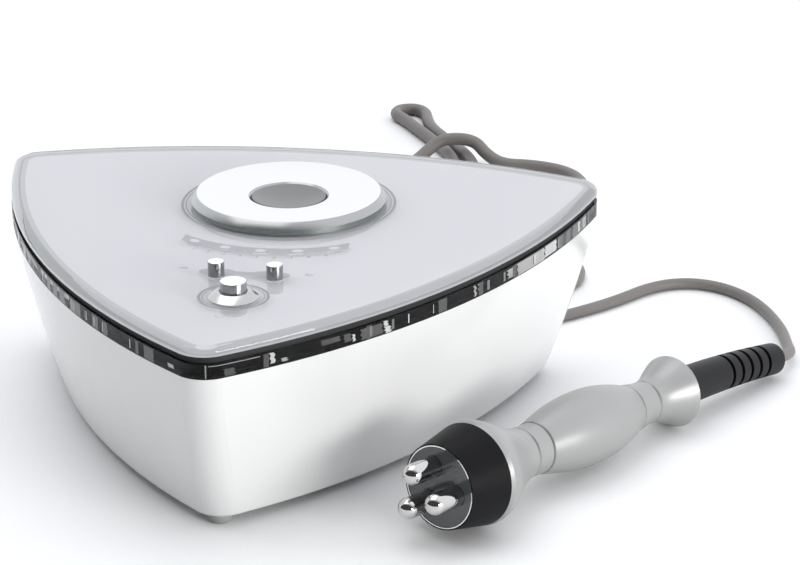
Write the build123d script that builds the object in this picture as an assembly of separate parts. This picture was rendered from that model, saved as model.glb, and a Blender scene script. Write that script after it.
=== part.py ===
from build123d import *
import math
import os

os.makedirs("parts", exist_ok=True)

# Desktop radio frequency skin treatment unit: a console shaped like a rounded triangle, and a
# handpiece with three electrode rods that lies beside it on its cord.
# Millimetres, +Z up, +Y towards the back of the console. The sizes below are measured from the
# middle of the console's plan, at table height. The whole unit is moved at the end, so that
# the origin is under the middle of its bounding box, on the table.

# Plan outline of the console: three large arcs and three round corners
CORNER_RADIUS = 14.0
SIDE_RADIUS = 362.4
SIDE_REACH = 145.4
FRONT_CORNER_Y = -173.27
BACK_RADIUS = 358.5
BACK_Y = 73.3
SIDE_CENTRE_X = SIDE_RADIUS - SIDE_REACH
SIDE_CENTRE_Y = FRONT_CORNER_Y + math.sqrt((SIDE_RADIUS - CORNER_RADIUS) ** 2 - SIDE_CENTRE_X ** 2)
BACK_CENTRE_Y = BACK_Y - BACK_RADIUS

# Heights, from the table up
FOOT_HEIGHT = 4.5
SHELL_HEIGHT = 72.5
BAND_HEIGHT = 6.8
GAP_HEIGHT = 3.0
LID_THICKNESS = 4.2
SHELL_Z = FOOT_HEIGHT
RIM_Z = SHELL_Z + SHELL_HEIGHT
BAND_TOP_Z = RIM_Z + BAND_HEIGHT
LID_Z = BAND_TOP_Z + GAP_HEIGHT
TOP_Z = LID_Z + LID_THICKNESS

# Lower shell
SIDE_DRAFT = 18.7
SIDE_BULGE = 1.2
SHELL_WALL = 2.5
SHELL_FLOOR = 2.5
BOTTOM_EDGE = 2.0
RIM_FLANGE_WIDTH = 9.0
RIM_FLANGE_DEPTH = 2.6
FLOOR_Z = SHELL_Z + SHELL_FLOOR

# Feet, and the case screws hidden above them
FOOT_RADIUS = 5.5
FOOT_MARGIN = 2.5
FOOT_EDGE = 0.8
FOOT_SPIGOT_RADIUS = 4.0
FOOT_SPIGOT = 2.2
SCREW_BOSS_RADIUS = 6.6
SCREW_BOSS_HEIGHT = 5.6
CASE_SCREW_RADIUS = 1.5
CASE_SCREW_HEAD_RADIUS = 2.9
CASE_SCREW_HEAD = 2.0
CASE_SCREW_LENGTH = 16.0
CASE_SCREW_Z = SHELL_Z + FOOT_SPIGOT
POST_RADIUS = 4.2

# Clearances
FIT_GAP = 0.1
SLIDE_GAP = 0.25
PRESS_GAP = 0.05

# Band, gasket, inner frame, printed sheet and lid
BAND_WIDTH = 5.0
BAND_SEAM_ANGLE = -89.0
BAND_CORNER_ANGLE = 15.5
GASKET_INSET = 1.2
GASKET_WIDTH = 5.0
SHEET_THICKNESS = 0.6
DECK_THICKNESS = 3.0
SKIRT_WIDTH = 2.0
DECK_INSET = GASKET_INSET + GASKET_WIDTH + FIT_GAP
SHEET_Z = LID_Z - SHEET_THICKNESS
DECK_Z = SHEET_Z - DECK_THICKNESS
LID_EDGE_RADIUS = 3.0

# Middle line of the rest, the controls and the print, a little right of the outline's own
FACE_X = 2.2

# Round rest on the lid
REST_Y = -8.0
REST_BASE_RADIUS = 44.7
REST_TOP_RADIUS = 42.3
REST_STEP_INSET = 0.4
REST_STEP_HEIGHT = 2.4
REST_HEIGHT = 5.6
REST_SINK = 2.0
REST_BORE_RADIUS = 17.0
REST_BORE_BEVEL = 1.4
DISH_DEPTH = 2.4
DISH_RIM_DROP = 0.4
DISH_SPIGOT_RADIUS = 9.0
DISH_STUD_RADIUS = 4.0
DISH_STUD_LENGTH = 14.0
DISH_NUT_RADIUS = 7.5
DISH_NUT_HEIGHT = 5.0

# Level buttons
LEVEL_X = 12.8
LEVEL_Y = -104.5
LEVEL_RADIUS = 3.6
LEVEL_HEIGHT = 6.3
LEVEL_TRAVEL = 0.8
LEVEL_EDGE = 0.5
LEVEL_FLANGE_RADIUS = 5.0
LEVEL_FLANGE = 1.5
LEVEL_STEM_RADIUS = 1.8
SWITCH_SIZE = 6.0
SWITCH_HEIGHT = 3.6
SWITCH_TIP_RADIUS = 1.6
SWITCH_TIP = 0.8

# Power button
POWER_Y = -129.0
POWER_RADIUS = 5.75
POWER_HEIGHT = 7.3
POWER_TRAVEL = 2.0
POWER_EDGE = 0.6
BEZEL_RADIUS = 10.8
BEZEL_TOP_RADIUS = 7.4
BEZEL_HEIGHT = 3.0
BEZEL_BARREL_RADIUS = 8.2
BEZEL_BARREL = 6.8
BEZEL_NUT_RADIUS = 11.0
BEZEL_NUT_HEIGHT = 2.6
POWER_FLANGE_RADIUS = 7.4
POWER_FLANGE = 1.5
POWER_SWITCH_SIZE = 12.0
POWER_SWITCH_HEIGHT = 4.0
POWER_TIP_RADIUS = 2.5

# Level display: an arc of windows with light guides below them
WINDOW_RING_RADIUS = 64.6
WINDOW_COUNT = 5
WINDOW_STEP_ANGLE = 14.5
WINDOW_LENGTH = 6.4
WINDOW_WIDTH = 3.4
LED_LENGTH = 3.2
LED_WIDTH = 2.6
LED_HEIGHT = 1.4

# Control board under the deck
BOARD_THICKNESS = 1.6
BOARD_DROP = 12.8
BOARD_WIDTH = 78.0
BOARD_FRONT_Y = -139.0
BOARD_BACK_Y = -56.0
BOARD_TAPER = 14.0
BOARD_SCREW_X = 33.0
BOARD_SCREW_FRONT_X = 20.0
BOARD_SCREW_FRONT_Y = -133.0
BOARD_SCREW_BACK_Y = -84.0
STANDOFF_RADIUS = 3.0
SMALL_SCREW_RADIUS = 1.2
SMALL_SCREW_HEAD_RADIUS = 2.4
SMALL_SCREW_HEAD = 1.6
SMALL_SCREW_LENGTH = 7.0
BOARD_TOP_Z = DECK_Z - BOARD_DROP

# Generator board and what it carries
RF_BOARD_LENGTH = 130.0
RF_BOARD_WIDTH = 72.0
RF_BOARD_Y = -44.0
RF_STANDOFF = 6.0
RF_HOLE_MARGIN = 6.0
RF_CORE_SIZE = 34.0
RF_CORE_DEPTH = 22.0
RF_CORE_HEIGHT = 28.0
RF_CORE_LEG = 8.0
RF_CORE_MARGIN = 29.0
RF_CORE_X = RF_BOARD_LENGTH / 2 - RF_CORE_MARGIN
RF_COIL_DEPTH = 30.0
COIL_CLEARANCE = 0.4
RF_BOARD_Z = FLOOR_Z + RF_STANDOFF
RF_BOARD_TOP_Z = RF_BOARD_Z + BOARD_THICKNESS
SINK_LENGTH = 60.0
SINK_DEPTH = 18.0
SINK_HEIGHT = 30.0
SINK_BASE = 4.0
SINK_FIN = 1.6
SINK_FIN_COUNT = 6
SINK_MARGIN = 35.0
SINK_X = SINK_MARGIN - RF_BOARD_LENGTH / 2
SINK_Y = -66.0
CAPACITOR_RADIUS = 7.0
CAPACITOR_HEIGHT = 26.0
CAPACITOR_COUNT = 3
CAPACITOR_PITCH = 18.0
CAPACITOR_MARGIN = 17.0
CAPACITOR_X = CAPACITOR_MARGIN - RF_BOARD_LENGTH / 2
CAPACITOR_Y = -26.0
CAPACITOR_EDGE = 0.8

# Mains transformer on the shell floor
MAINS_CORE_LENGTH = 48.0
MAINS_CORE_DEPTH = 20.0
MAINS_CORE_HEIGHT = 40.0
MAINS_CORE_LEG = 9.0
MAINS_COIL_DEPTH = 32.0
MAINS_CORE_X = -74.0
MAINS_CORE_Y = 14.0

# Rear connector panel, set in a pocket of the back wall
POCKET_HALF_WIDTH = 56.0
POCKET_BOTTOM_Z = 17.0
POCKET_TOP_Z = 50.0
POCKET_WALL = 2.4
PANEL_FACE_Y = 50.0
PANEL_THICKNESS = 2.0
PANEL_SCREW_X = 51.5
PANEL_LEDGE = 6.0
CONNECTOR_Z = 33.5
SOCKET_X = 36.0
GLAND_X = -35.0
FUSE_X = 2.0
SOCKET_FLANGE_RADIUS = 9.5
SOCKET_FLANGE = 2.4
SOCKET_BODY_RADIUS = 7.4
SOCKET_BODY = 15.0
SOCKET_NUT_RADIUS = 10.0
SOCKET_NUT = 3.0
SOCKET_BORE_RADIUS = 5.6
SOCKET_BORE = 12.0
GLAND_COLLAR_RADIUS = 8.6
GLAND_COLLAR = 4.0
GLAND_CONE_RADIUS = 5.6
GLAND_CONE = 19.0
GLAND_BODY_RADIUS = 6.6
GLAND_BODY = 10.0
FUSE_FLANGE_RADIUS = 8.4
FUSE_FLANGE = 2.0
FUSE_CAP_RADIUS = 6.4
FUSE_CAP = 5.0
FUSE_BODY_RADIUS = 5.6
FUSE_BODY = 24.0

# Vent slots in the shell floor
VENT_COUNT = 7
VENT_PITCH = 6.5
VENT_LENGTH = 34.0
VENT_WIDTH = 3.0
VENT_Y = 20.0
VENT_X = 26.0

# Handpiece: stations run from its front face to the tail, radii are outer radii
HAND_X = 94.5
HAND_Y = -160.7
HAND_HEADING_ANGLE = 57.3
HEAD_FRONT_RADIUS = 18.6
HEAD_REAR_RADIUS = 22.4
HEAD_LENGTH = 20.2
LIP_RADIUS = 22.9
LIP_STATION = 22.2
FRONT_CURVE = [
    (26.0, 22.2), (31.0, 20.0), (36.0, 17.3), (41.0, 14.9), (47.0, 12.6), (52.8, 11.4), (58.0, 11.3)]
FRONT_GROOVE = FRONT_CURVE[5]
GRIP_STATION = 62.4
GRIP_FRONT_RADIUS = 11.9
GRIP_CURVE = [
    (68.0, 13.1), (75.0, 14.7), (82.0, 15.9), (90.0, 16.6), (98.0, 16.7), (106.0, 16.2), (114.0, 14.8)]
GRIP_END_STATION = 126.8
GRIP_REAR_RADIUS = 11.2
TAIL_CURVE = [(133.0, 10.3), (139.8, 9.8), (145.0, 10.6), (150.0, 12.4), (155.0, 14.6)]
TAIL_GROOVE = TAIL_CURVE[1]
TAIL_STATION = 159.6
TAIL_RADIUS = 16.5
TAIL_END_STATION = 160.9
TAIL_END_RADIUS = 15.6
HANDLE_WALL = 2.0
SPIGOT_WALL = 1.4
SPIGOT_LENGTH = 6.0
SEAM = 0.4
GROOVE_DEPTH = 0.7
GROOVE_WIDTH = 1.4

# Handpiece head
HEAD_WALL = 2.2
TRIM_WIDTH = 0.5
FACE_RADIUS = 17.4
FACE_THICKNESS = 3.0
FACE_RECESS = 0.3
CARRIER_THICKNESS = 7.0
ELECTRODE_COUNT = 3
ELECTRODE_RADIUS = 4.6
ELECTRODE_CIRCLE = 9.1
ELECTRODE_LENGTH = 17.0
ELECTRODE_TURN_ANGLE = 7.0
ELECTRODE_STUD_RADIUS = 2.5
ELECTRODE_NUT_RADIUS = 4.2
ELECTRODE_NUT = 3.0
ELECTRODE_STUD_END = 2.0
HEAD_BORE_RADIUS = HEAD_FRONT_RADIUS - HEAD_WALL
CARRIER_STATION = FACE_RECESS + FACE_THICKNESS

# Small circuit board in the grip, held in two slotted ribs
HANDLE_BOARD_LENGTH = 44.0
HANDLE_BOARD_WIDTH = 12.0
HANDLE_BOARD_STATION = 73.0
RIB_THICKNESS = 2.5
RIB_MARGIN = 4.0
RIB_WIRE_RADIUS = 2.0

# Strain relief on the tail
TAIL_PLUG_LENGTH = 4.0
TAIL_LEDGE = 2.0
RELIEF_END = (224.6, 40.1, 8.4)
RELIEF_BASE_RADIUS = 9.0
RELIEF_END_RADIUS = 7.4
RELIEF_CORE_RADIUS = 5.8
RELIEF_RIB_COUNT = 4
RELIEF_RIB_PITCH = 7.2
RELIEF_GROOVE = 2.2
RELIEF_TIP_LENGTH = 12.6
RELIEF_TIP_EDGE = 2.4

# Cords: all of their points are chosen by hand, in the frame of the sizes above
HAND_CORD_RADIUS = 2.75
MAINS_CORD_RADIUS = 3.5
COIL_GAP = 2.2
COIL_HALF_LOOPS = 4
ARC_SHARE = 0.45
GAP_SAMPLES = 900
RELIEF_LEAD = 14.0
HAND_CORD_ROUTE = [
    (233.5, 68.0, 3.8), (230.0, 90.0, 2.85), (221.0, 112.0, 2.85), (208.0, 132.0, 2.85),
    (192.0, 146.0, 2.85), (174.0, 148.5, 2.85), (158.0, 139.0, 2.85), (142.5, 116.5, 2.85),
    (124.0, 97.0, 2.85), (104.0, 80.0, 2.85), (80.0, 82.0, 2.85), (61.0, 96.0, 2.85), (51.0, 116.0, 2.85)]
HAND_COIL_CENTRE = (88.0, 150.0)
HAND_COIL_RADIUS = 37.0
HAND_COIL_LEAD = 12.0
HAND_COIL_Z = 2.85
HAND_TAIL_ROUTE = [
    (51.0, 187.5, 7.6), (42.0, 198.5, 4.2), (28.5, 201.5, 2.85), (15.5, 196.5, 2.85), (7.5, 185.5, 2.85),
    (6.0, 171.0, 3.6), (10.0, 156.5, 7.6), (16.5, 143.5, 14.2), (24.5, 131.0, 22.4), (32.0, 118.5, 29.6)]
MAINS_ROUTE = [
    (-35.0, 87.0, 33.5), (-34.5, 101.5, 29.6), (-34.0, 116.0, 21.6), (-33.0, 130.5, 11.8),
    (-32.0, 146.0, 5.4), (-31.0, 164.0, 3.6), (-29.5, 186.0, 3.6), (-26.0, 209.0, 3.6),
    (-14.0, 236.0, 3.6), (8.0, 259.0, 3.6), (27.0, 282.0, 3.6), (35.5, 306.0, 3.6),
    (28.5, 330.0, 3.6), (15.5, 353.5, 3.6), (1.5, 376.0, 3.6), (-10.0, 392.5, 3.6),
    (-20.8, 405.4, 3.6), (-8.2, 413.6, 3.6), (1.0, 399.5, 3.6), (8.5, 381.0, 3.6),
    (21.0, 358.5, 3.6), (36.0, 335.0, 3.6), (45.0, 311.0, 3.6), (45.0, 292.0, 3.6),
    (46.0, 275.0, 3.6), (58.0, 258.5, 3.6), (77.0, 252.5, 3.6), (96.0, 258.5, 3.6),
    (108.0, 275.0, 3.6), (108.0, 295.0, 3.6), (96.0, 311.5, 3.6), (77.0, 318.5, 3.6),
    (60.0, 317.5, 3.6), (50.0, 322.5, 7.4), (42.0, 329.5, 13.8), (24.0, 328.5, 13.8),
    (16.5, 321.5, 8.4), (10.5, 312.0, 4.0), (-1.0, 300.0, 3.6), (-16.0, 287.0, 3.6),
    (-33.0, 276.0, 3.6), (-56.0, 268.0, 3.6), (-84.0, 263.0, 3.6), (-113.0, 252.0, 3.6),
    (-137.0, 232.0, 3.6), (-148.0, 205.0, 3.6)]
MAINS_COIL_CENTRE = (-101.0, 165.0)
MAINS_COIL_RADIUS = 47.0
MAINS_COIL_LEAD = 14.0
MAINS_COIL_Z = 3.6
MAINS_TAIL_ROUTE = [
    (-141.5, 122.5, 10.2), (-134.0, 109.5, 8.0), (-121.5, 100.5, 7.0), (-108.0, 97.0, 6.8)]

# Plugs
HAND_PLUG_RADIUS = 8.0
HAND_PLUG_LENGTH = 24.0
HAND_PLUG_TIP_RADIUS = 5.2
HAND_PLUG_TIP = 9.0
HAND_PLUG_BOOT_RADIUS = 5.0
HAND_PLUG_BOOT = 14.0
HAND_PLUG_EDGE = 1.2
MAINS_PLUG_LENGTH = 36.0
MAINS_PLUG_WIDTH = 35.0
MAINS_PLUG_NECK_WIDTH = 14.0
MAINS_PLUG_HEIGHT = 13.6
MAINS_PLUG_EDGE = 3.0
MAINS_PIN_RADIUS = 2.0
MAINS_PIN_LENGTH = 19.0
MAINS_PIN_SPACING = 18.6
MAINS_PLUG_X = -95.0
MAINS_PLUG_Y = 97.0


# Helpers

def unit(x, y):
    """Unit vector in the plan."""
    length = math.hypot(x, y)
    return Vector(x / length, y / length)


def corner_centres(inset, corner):
    """Centres of the front, right and left corner circles of the outline drawn inwards by inset."""
    side_reach = SIDE_RADIUS - inset - corner
    back_reach = BACK_RADIUS - inset - corner
    front = Vector(0, SIDE_CENTRE_Y - math.sqrt(side_reach ** 2 - SIDE_CENTRE_X ** 2))
    across = Vector(SIDE_CENTRE_X, BACK_CENTRE_Y - SIDE_CENTRE_Y)
    span = across.length
    along = (side_reach ** 2 - back_reach ** 2 + span ** 2) / (2 * span)
    aside = math.sqrt(side_reach ** 2 - along ** 2)
    along_dir = unit(across.X, across.Y)
    aside_dir = Vector(-along_dir.Y, along_dir.X)
    right = Vector(-SIDE_CENTRE_X, SIDE_CENTRE_Y) + along_dir * along + aside_dir * aside
    left = Vector(-right.X, right.Y)
    return front, right, left


def plan(inset, corner=CORNER_RADIUS):
    """Face of the console's plan outline, drawn inwards by inset."""
    front, right, left = corner_centres(inset, corner)
    right_side = (Vector(-SIDE_CENTRE_X, SIDE_CENTRE_Y), SIDE_RADIUS - inset)
    back_side = (Vector(0, BACK_CENTRE_Y), BACK_RADIUS - inset)
    left_side = (Vector(SIDE_CENTRE_X, SIDE_CENTRE_Y), SIDE_RADIUS - inset)
    stops = [(right_side, front), (right_side, right), (back_side, right)]
    stops += [(back_side, left), (left_side, left), (left_side, front)]
    touches = []
    for (centre, radius), corner_centre in stops:
        outwards = corner_centre - centre
        touches.append(centre + outwards.normalized() * radius)
    circles = [right_side, (right, corner), back_side, (left, corner), left_side, (front, corner)]
    edges = []
    for index, (centre, radius) in enumerate(circles):
        start = touches[index]
        end = touches[(index + 1) % len(touches)]
        middle = (start - centre).normalized() + (end - centre).normalized()
        edges.append(ThreePointArc(start, centre + middle.normalized() * radius, end))
    return Face(Wire(edges))


def plan_slab(inset, z, height, corner=None):
    """Flat slab of the plan outline; its corners shrink with the inset unless one is given."""
    if corner is None:
        corner = max(CORNER_RADIUS - inset, 1.0)
    return Pos(0, 0, z) * extrude(plan(inset, corner), amount=height)


def side_inset(z):
    """How far the shell's side lies inside the rim outline at height z."""
    share = (RIM_Z - z) / SHELL_HEIGHT
    return SIDE_DRAFT * share - 4 * SIDE_BULGE * share * (1 - share)


def shell_body(inset, low, high):
    """Tapered body between two heights, its sides inset from the shell's outer face."""
    levels = [low, low + (high - low) / 3, high - (high - low) / 3, high]
    sections = [Pos(0, 0, z) * plan(side_inset(z) + inset, CORNER_RADIUS - inset) for z in levels]
    return loft(sections)


def cylinder(radius, z, height, x=0.0, y=0.0):
    """Upright cylinder from z upwards."""
    return Pos(x, y, z) * Cylinder(radius, height, align=(Align.CENTER, Align.CENTER, Align.MIN))


def block(length, width, height, x, y, z):
    """Upright block standing on z."""
    return Pos(x, y, z) * Box(length, width, height, align=(Align.CENTER, Align.CENTER, Align.MIN))


def tube(radius, bore, z, height, x=0.0, y=0.0):
    """Upright tube from z upwards."""
    return cylinder(radius, z, height, x, y) - cylinder(bore, z, height, x, y)


def hexagon(radius, z, height, bore, x=0.0, y=0.0):
    """Hexagon nut from z upwards."""
    nut = Pos(x, y, z) * extrude(RegularPolygon(radius, 6), amount=height)
    return nut - cylinder(bore, z, height, x, y)


def turned(profile):
    """Solid turned about the X axis from (station, radius) points joined by straight lines."""
    points = [(station, radius) for station, radius in profile]
    return revolve(make_face(Polyline(*points, close=True)), Axis.X)


def backwards(shape, x, z, y=PANEL_FACE_Y):
    """Turn an upright piece so that its +Z points to the back, and set it on the rear panel."""
    return Pos(x, y, z) * Rot(-90, 0, 0) * shape


def capped(shape, edge, top=True):
    """Round the top edges of an upright turned piece."""
    edges = shape.edges().filter_by(GeomType.CIRCLE).sort_by(Axis.Z)
    height = edges[-1].center().Z if top else edges[0].center().Z
    outer = [e for e in edges if abs(e.center().Z - height) < FIT_GAP]
    outer.sort(key=lambda e: e.radius)
    return fillet([outer[-1]], edge)


# Case screws, feet and posts stand on one set of three axes
def foot_axes():
    """Plan positions of the feet, the case screws and the posts: one near each lower corner."""
    corner = CORNER_RADIUS
    out = corner - FOOT_RADIUS - FOOT_MARGIN
    centres = corner_centres(side_inset(SHELL_Z), corner)
    middle = (centres[0] + centres[1] + centres[2]) / 3
    axes = []
    for centre in centres:
        place = centre + (centre - middle).normalized() * out
        axes.append((place.X, place.Y))
    return axes


# Lower shell

def shell_tub():
    """Tapered tub with a rim flange, screw bosses, board standoffs and the rear connector pocket."""
    outer = shell_body(0, SHELL_Z, RIM_Z)
    outer = fillet(outer.faces().sort_by(Axis.Z)[0].edges(), BOTTOM_EDGE)
    flange_z = RIM_Z - RIM_FLANGE_DEPTH
    inner = shell_body(SHELL_WALL, FLOOR_Z, RIM_Z)
    mouth = plan_slab(RIM_FLANGE_WIDTH, flange_z, RIM_FLANGE_DEPTH, CORNER_RADIUS - RIM_FLANGE_WIDTH / 2)
    flange = plan_slab(SHELL_WALL, flange_z, RIM_FLANGE_DEPTH) - mouth
    pocket_height = POCKET_TOP_Z - POCKET_BOTTOM_Z
    pocket_depth = 4 * POCKET_WALL + RIM_FLANGE_WIDTH
    pocket_y = PANEL_FACE_Y - PANEL_THICKNESS
    walls = block(2 * (POCKET_HALF_WIDTH + POCKET_WALL), 2 * pocket_depth, pocket_height + 2 * POCKET_WALL,
                  0, pocket_y - POCKET_WALL + pocket_depth, POCKET_BOTTOM_Z - POCKET_WALL)
    tub = outer - inner + flange + (walls & shell_body(FIT_GAP, FLOOR_Z, flange_z))
    hollow = block(2 * POCKET_HALF_WIDTH, 2 * pocket_depth, pocket_height, 0, pocket_y + pocket_depth,
                   POCKET_BOTTOM_Z)
    ledge_opening = block(2 * (POCKET_HALF_WIDTH - PANEL_LEDGE), 4 * pocket_depth,
                          pocket_height - PANEL_LEDGE, 0, pocket_y, POCKET_BOTTOM_Z + PANEL_LEDGE / 2)
    tub = tub - hollow - ledge_opening
    for side in (-1, 1):
        hole = Pos(side * PANEL_SCREW_X, pocket_y, CONNECTOR_Z) * Rot(90, 0, 0)
        tub -= hole * Cylinder(SMALL_SCREW_RADIUS + PRESS_GAP, 4 * POCKET_WALL)
    for x, y in foot_axes():
        tub += cylinder(SCREW_BOSS_RADIUS, FLOOR_Z, SCREW_BOSS_HEIGHT - SHELL_FLOOR, x, y) & shell_body(
            FIT_GAP, SHELL_Z, RIM_Z)
        tub -= cylinder(FOOT_SPIGOT_RADIUS, SHELL_Z, FOOT_SPIGOT, x, y)
        tub -= cylinder(CASE_SCREW_HEAD_RADIUS + FIT_GAP, SHELL_Z, FOOT_SPIGOT + CASE_SCREW_HEAD, x, y)
        tub -= cylinder(CASE_SCREW_RADIUS + FIT_GAP, SHELL_Z, SCREW_BOSS_HEIGHT, x, y)
    for x, y in rf_board_holes():
        tub += cylinder(STANDOFF_RADIUS, FLOOR_Z, RF_STANDOFF, x, y)
        tub -= cylinder(SMALL_SCREW_RADIUS + PRESS_GAP, FLOOR_Z, RF_STANDOFF, x, y)
    for bank in (-1, 1):
        for index in range(VENT_COUNT):
            slot_x = bank * VENT_X + (index - (VENT_COUNT - 1) / 2) * VENT_PITCH
            tub -= block(VENT_WIDTH, VENT_LENGTH, SHELL_FLOOR, slot_x, VENT_Y, SHELL_Z)
    return tub


def rf_board_holes():
    """Plan positions of the generator board's four standoffs."""
    x = RF_BOARD_LENGTH / 2 - RF_HOLE_MARGIN
    y = RF_BOARD_WIDTH / 2 - RF_HOLE_MARGIN
    return [(sx * x, RF_BOARD_Y + sy * y) for sx in (-1, 1) for sy in (-1, 1)]


def rubber_feet():
    """Three soft feet with spigots pressed into the shell's screw recesses."""
    feet = []
    for x, y in foot_axes():
        pad = fillet(cylinder(FOOT_RADIUS, 0, FOOT_HEIGHT, x, y).edges().sort_by(Axis.Z)[0], FOOT_EDGE)
        spigot_height = FOOT_SPIGOT - FIT_GAP
        feet.append(pad + cylinder(FOOT_SPIGOT_RADIUS - PRESS_GAP, FOOT_HEIGHT, spigot_height, x, y))
    return Compound(feet)


def case_screws():
    """Three screws that pull the inner frame's posts down on the shell floor."""
    screws = []
    for x, y in foot_axes():
        shank = cylinder(CASE_SCREW_RADIUS, CASE_SCREW_Z, CASE_SCREW_LENGTH, x, y)
        screws.append(cylinder(CASE_SCREW_HEAD_RADIUS, CASE_SCREW_Z, CASE_SCREW_HEAD, x, y) + shank)
    return Compound(screws)


# Band and gasket

def side_band(start, stop):
    """One length of the clear band between two directions seen from the plan's middle."""
    ring = plan_slab(0, RIM_Z, BAND_HEIGHT) - plan_slab(BAND_WIDTH, RIM_Z, BAND_HEIGHT)
    reach = 2 * SIDE_RADIUS
    steps = [start + (stop - start) * share / 3 for share in range(4)]
    rays = [(reach * math.cos(math.radians(a)), reach * math.sin(math.radians(a))) for a in steps]
    wedge = Pos(0, 0, RIM_Z) * extrude(make_face(Polyline((0, 0), *rays, close=True)), amount=BAND_HEIGHT)
    return ring & wedge


def band_gasket():
    """Black gasket in the shadow gap between the band and the lid."""
    ring = plan_slab(GASKET_INSET, BAND_TOP_Z, GAP_HEIGHT)
    return ring - plan_slab(GASKET_INSET + GASKET_WIDTH, BAND_TOP_Z, GAP_HEIGHT)


# Inner frame, printed sheet and lid

def window_places():
    """Plan position and turn of each window in the level display."""
    places = []
    for index in range(WINDOW_COUNT):
        angle = -90 + (index - (WINDOW_COUNT - 1) / 2) * WINDOW_STEP_ANGLE
        x = FACE_X + WINDOW_RING_RADIUS * math.cos(math.radians(angle))
        y = REST_Y + WINDOW_RING_RADIUS * math.sin(math.radians(angle))
        places.append((x, y, angle + 90))
    return places


def window_prisms(z, height, margin):
    """Prisms with rounded ends, one below each window."""
    slot = SlotOverall(WINDOW_LENGTH + 2 * margin, WINDOW_WIDTH + 2 * margin)
    prism = extrude(slot, amount=height)
    return [Pos(x, y, z) * Rot(0, 0, turn) * prism for x, y, turn in window_places()]


def control_holes(z, height, level_radius, power_radius, stud_radius, window_margin=None):
    """Cutters for the controls, the rest's spigot and, if wanted, the windows."""
    cutters = [cylinder(level_radius, z, height, FACE_X + side * LEVEL_X, LEVEL_Y) for side in (-1, 1)]
    cutters.append(cylinder(power_radius, z, height, FACE_X, POWER_Y))
    cutters.append(cylinder(stud_radius, z, height, FACE_X, REST_Y))
    if window_margin is not None:
        cutters += window_prisms(z, height, window_margin)
    return cutters


def board_screw_places():
    """Plan positions of the control board's four screws."""
    front = [(side * BOARD_SCREW_FRONT_X, BOARD_SCREW_FRONT_Y) for side in (-1, 1)]
    back = [(side * BOARD_SCREW_X, BOARD_SCREW_BACK_Y) for side in (-1, 1)]
    return front + back


def carrier_deck():
    """Inner frame: a deck with a skirt inside the band, three long posts and board standoffs."""
    deck = plan_slab(DECK_INSET, DECK_Z, DECK_THICKNESS)
    skirt = plan_slab(DECK_INSET, RIM_Z, DECK_Z - RIM_Z)
    skirt -= plan_slab(DECK_INSET + SKIRT_WIDTH, RIM_Z, DECK_Z - RIM_Z)
    frame = deck + skirt
    post_z = SHELL_Z + SCREW_BOSS_HEIGHT
    for x, y in foot_axes():
        frame += cylinder(POST_RADIUS, post_z, DECK_Z - post_z, x, y)
        frame -= cylinder(CASE_SCREW_RADIUS + PRESS_GAP, post_z, CASE_SCREW_LENGTH, x, y)
    for x, y in board_screw_places():
        frame += cylinder(STANDOFF_RADIUS, BOARD_TOP_Z, BOARD_DROP, x, y)
        frame -= cylinder(SMALL_SCREW_RADIUS + PRESS_GAP, BOARD_TOP_Z, SMALL_SCREW_LENGTH, x, y)
    holes = control_holes(DECK_Z, DECK_THICKNESS, LEVEL_RADIUS + SLIDE_GAP, BEZEL_BARREL_RADIUS + FIT_GAP,
                          DISH_SPIGOT_RADIUS + FIT_GAP, FIT_GAP)
    for hole in holes:
        frame -= hole
    return frame


def printed_sheet():
    """Thin printed sheet under the lid, with a window over each light guide."""
    sheet = plan_slab(DECK_INSET, SHEET_Z, SHEET_THICKNESS)
    holes = control_holes(SHEET_Z, SHEET_THICKNESS, LEVEL_RADIUS + SLIDE_GAP, BEZEL_BARREL_RADIUS + FIT_GAP,
                          DISH_SPIGOT_RADIUS + FIT_GAP, FIT_GAP)
    for hole in holes:
        sheet -= hole
    return sheet


def top_lid():
    """Clear lid plate with a rounded upper edge and holes for the controls and the rest."""
    lid = plan_slab(0, LID_Z, LID_THICKNESS)
    lid = fillet(lid.faces().sort_by(Axis.Z)[-1].edges(), LID_EDGE_RADIUS)
    holes = control_holes(LID_Z, LID_THICKNESS, LEVEL_RADIUS + SLIDE_GAP, BEZEL_BARREL_RADIUS + FIT_GAP,
                          DISH_SPIGOT_RADIUS + FIT_GAP)
    for hole in holes:
        lid -= hole
    return lid


# Round rest

def rest_ring():
    """Metal ring with a straight step, a bevelled flank, and a top that sinks towards its bore."""
    bore_top = REST_BORE_RADIUS + REST_BORE_BEVEL
    funnel_z = REST_HEIGHT - REST_SINK
    bevel_z = funnel_z - REST_BORE_BEVEL
    step = REST_BASE_RADIUS - REST_STEP_INSET
    outline = Polyline((REST_BORE_RADIUS, 0), (step, 0), (step, REST_STEP_HEIGHT),
                       (REST_BASE_RADIUS, REST_STEP_HEIGHT), (REST_TOP_RADIUS, REST_HEIGHT),
                       (bore_top, funnel_z), (REST_BORE_RADIUS, bevel_z), close=True)
    return Pos(FACE_X, REST_Y, TOP_Z) * revolve(Plane.XZ * make_face(outline), Axis.Z)


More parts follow.
